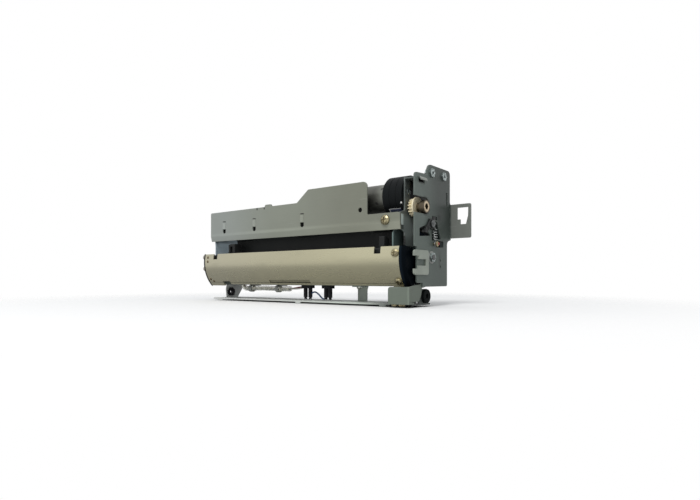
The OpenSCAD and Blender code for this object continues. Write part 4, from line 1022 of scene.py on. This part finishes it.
dab("white_dot", (106.1, 6.15, 82.2), 1.7, 0.5, 113.9, 0, white_paint)
dab("red_lacquer", (124.5, 34.0, 50.4), 2.4, 1.0, 90, 90, red_lacquer)

# %% [markdown]
# ## Table
#
# The unit stands on a pale table. A plain white floor would do for its shadow, but the satin cover
# needs something darker to mirror. So the table is pale to the eye and fades into the white round the
# unit before any edge shows, while in reflections it is grey and ends between one and two hands'
# widths in front of the unit, where the white begins that brightens the top of the cover.

# %% Table
table, place = new_finish("table")
mirrored = place.node("ShaderNodeLightPath", {}, {}, "Is Glossy Ray")
seen = place.node("ShaderNodeLightPath", {}, {}, "Is Camera Ray")
seen = seen + place.node("ShaderNodeLightPath", {}, {}, "Is Transmission Ray")
cloud = grain(place, 90 * mm)
unseen = mix(mirrored, (0.75, 0.75, 0.75, 1), (0.46, 0.46, 0.46, 1))
in_mirror = between(along(place, "Y"), -0.20, -0.09)
in_sight = 1 - between(away_from(place, (0, 25, 0)), 0.17, 0.42)
dress(table, {
    "Base Color": mix(between(seen, 0.2, 0.8), unseen, (0.95, 0.95, 0.95, 1)),
    "Alpha": mirrored * in_mirror + (1 - mirrored) * in_sight,
    "Roughness": 0.85 + 0.1 * cloud,
    "Specular IOR Level": 0.0,
})
bpy.ops.mesh.primitive_plane_add(size=60, location=(0, 0, -0.0003))
floor = bpy.context.object
floor.name = "table"
floor.data.materials.append(table)
print("table set")

# %% [markdown]
# ## Sky and lamp
#
# The light is plain daylight: an even sky and one broad lamp, above and to the right of the viewer.
# A sky alone would be soft enough but would leave the folds flat. The sky looks white to the eye and
# in reflections, but it throws less light on the unit, so that the lamp can shape it.

# %% Sky and lamp
world = bpy.data.worlds.new("sky")
bpy.context.scene.world = world
world.use_nodes = True
sky = Wire(world.node_tree)
seen = sky.node("ShaderNodeLightPath", {}, {}, "Is Camera Ray")
seen = seen + sky.node("ShaderNodeLightPath", {}, {}, "Is Glossy Ray")
seen = seen + sky.node("ShaderNodeLightPath", {}, {}, "Is Transmission Ray")
light = mix(between(seen, 0.2, 0.8), (0.62, 0.63, 0.64, 1), (1, 1, 1, 1))
world.node_tree.links.new(light.socket, world.node_tree.nodes["Background"].inputs["Color"])

lamp_distance = 1.5
lamp_level = 0.5
aim = Vector((0, 0.02, 0.05))
from_right = math.radians(18)
from_above = math.radians(48)
outward = math.cos(from_above)
towards = Vector((math.sin(from_right) * outward, -math.cos(from_right) * outward, math.sin(from_above)))
bpy.ops.object.light_add(type="AREA", location=aim + towards * lamp_distance)
lamp = bpy.context.object
lamp.name = "lamp"
lamp.data.shape = "DISK"
lamp.data.size = 0.7
lamp.data.energy = lamp_level * math.pi ** 2 * lamp_distance ** 2
lamp.rotation_euler = (-towards).to_track_quat("-Z", "Y").to_euler()
print("lamp", round(lamp.data.energy, 2), "W")

# %% [markdown]
# ## View
#
# The unit is seen through a short lens close up, from the right and just above the table, with the
# camera level. Tilting the camera up would bring the unit to the middle of the picture but make its
# plates lean, so the lens is shifted instead.

# %% Camera
eye = (0.3184, -0.338, 0.0225)
turned_left = math.radians(37.405)
bpy.ops.object.camera_add(location=eye, rotation=(math.radians(90), 0, turned_left))
camera = bpy.context.object
camera.data.lens = 26.23
camera.data.sensor_width = 36
camera.data.sensor_fit = "HORIZONTAL"
camera.data.shift_y = 0.0404
camera.data.clip_start = 0.01
bpy.context.scene.camera = camera
bpy.context.scene.view_settings.view_transform = "Standard"
print("camera", [round(v, 4) for v in camera.location])
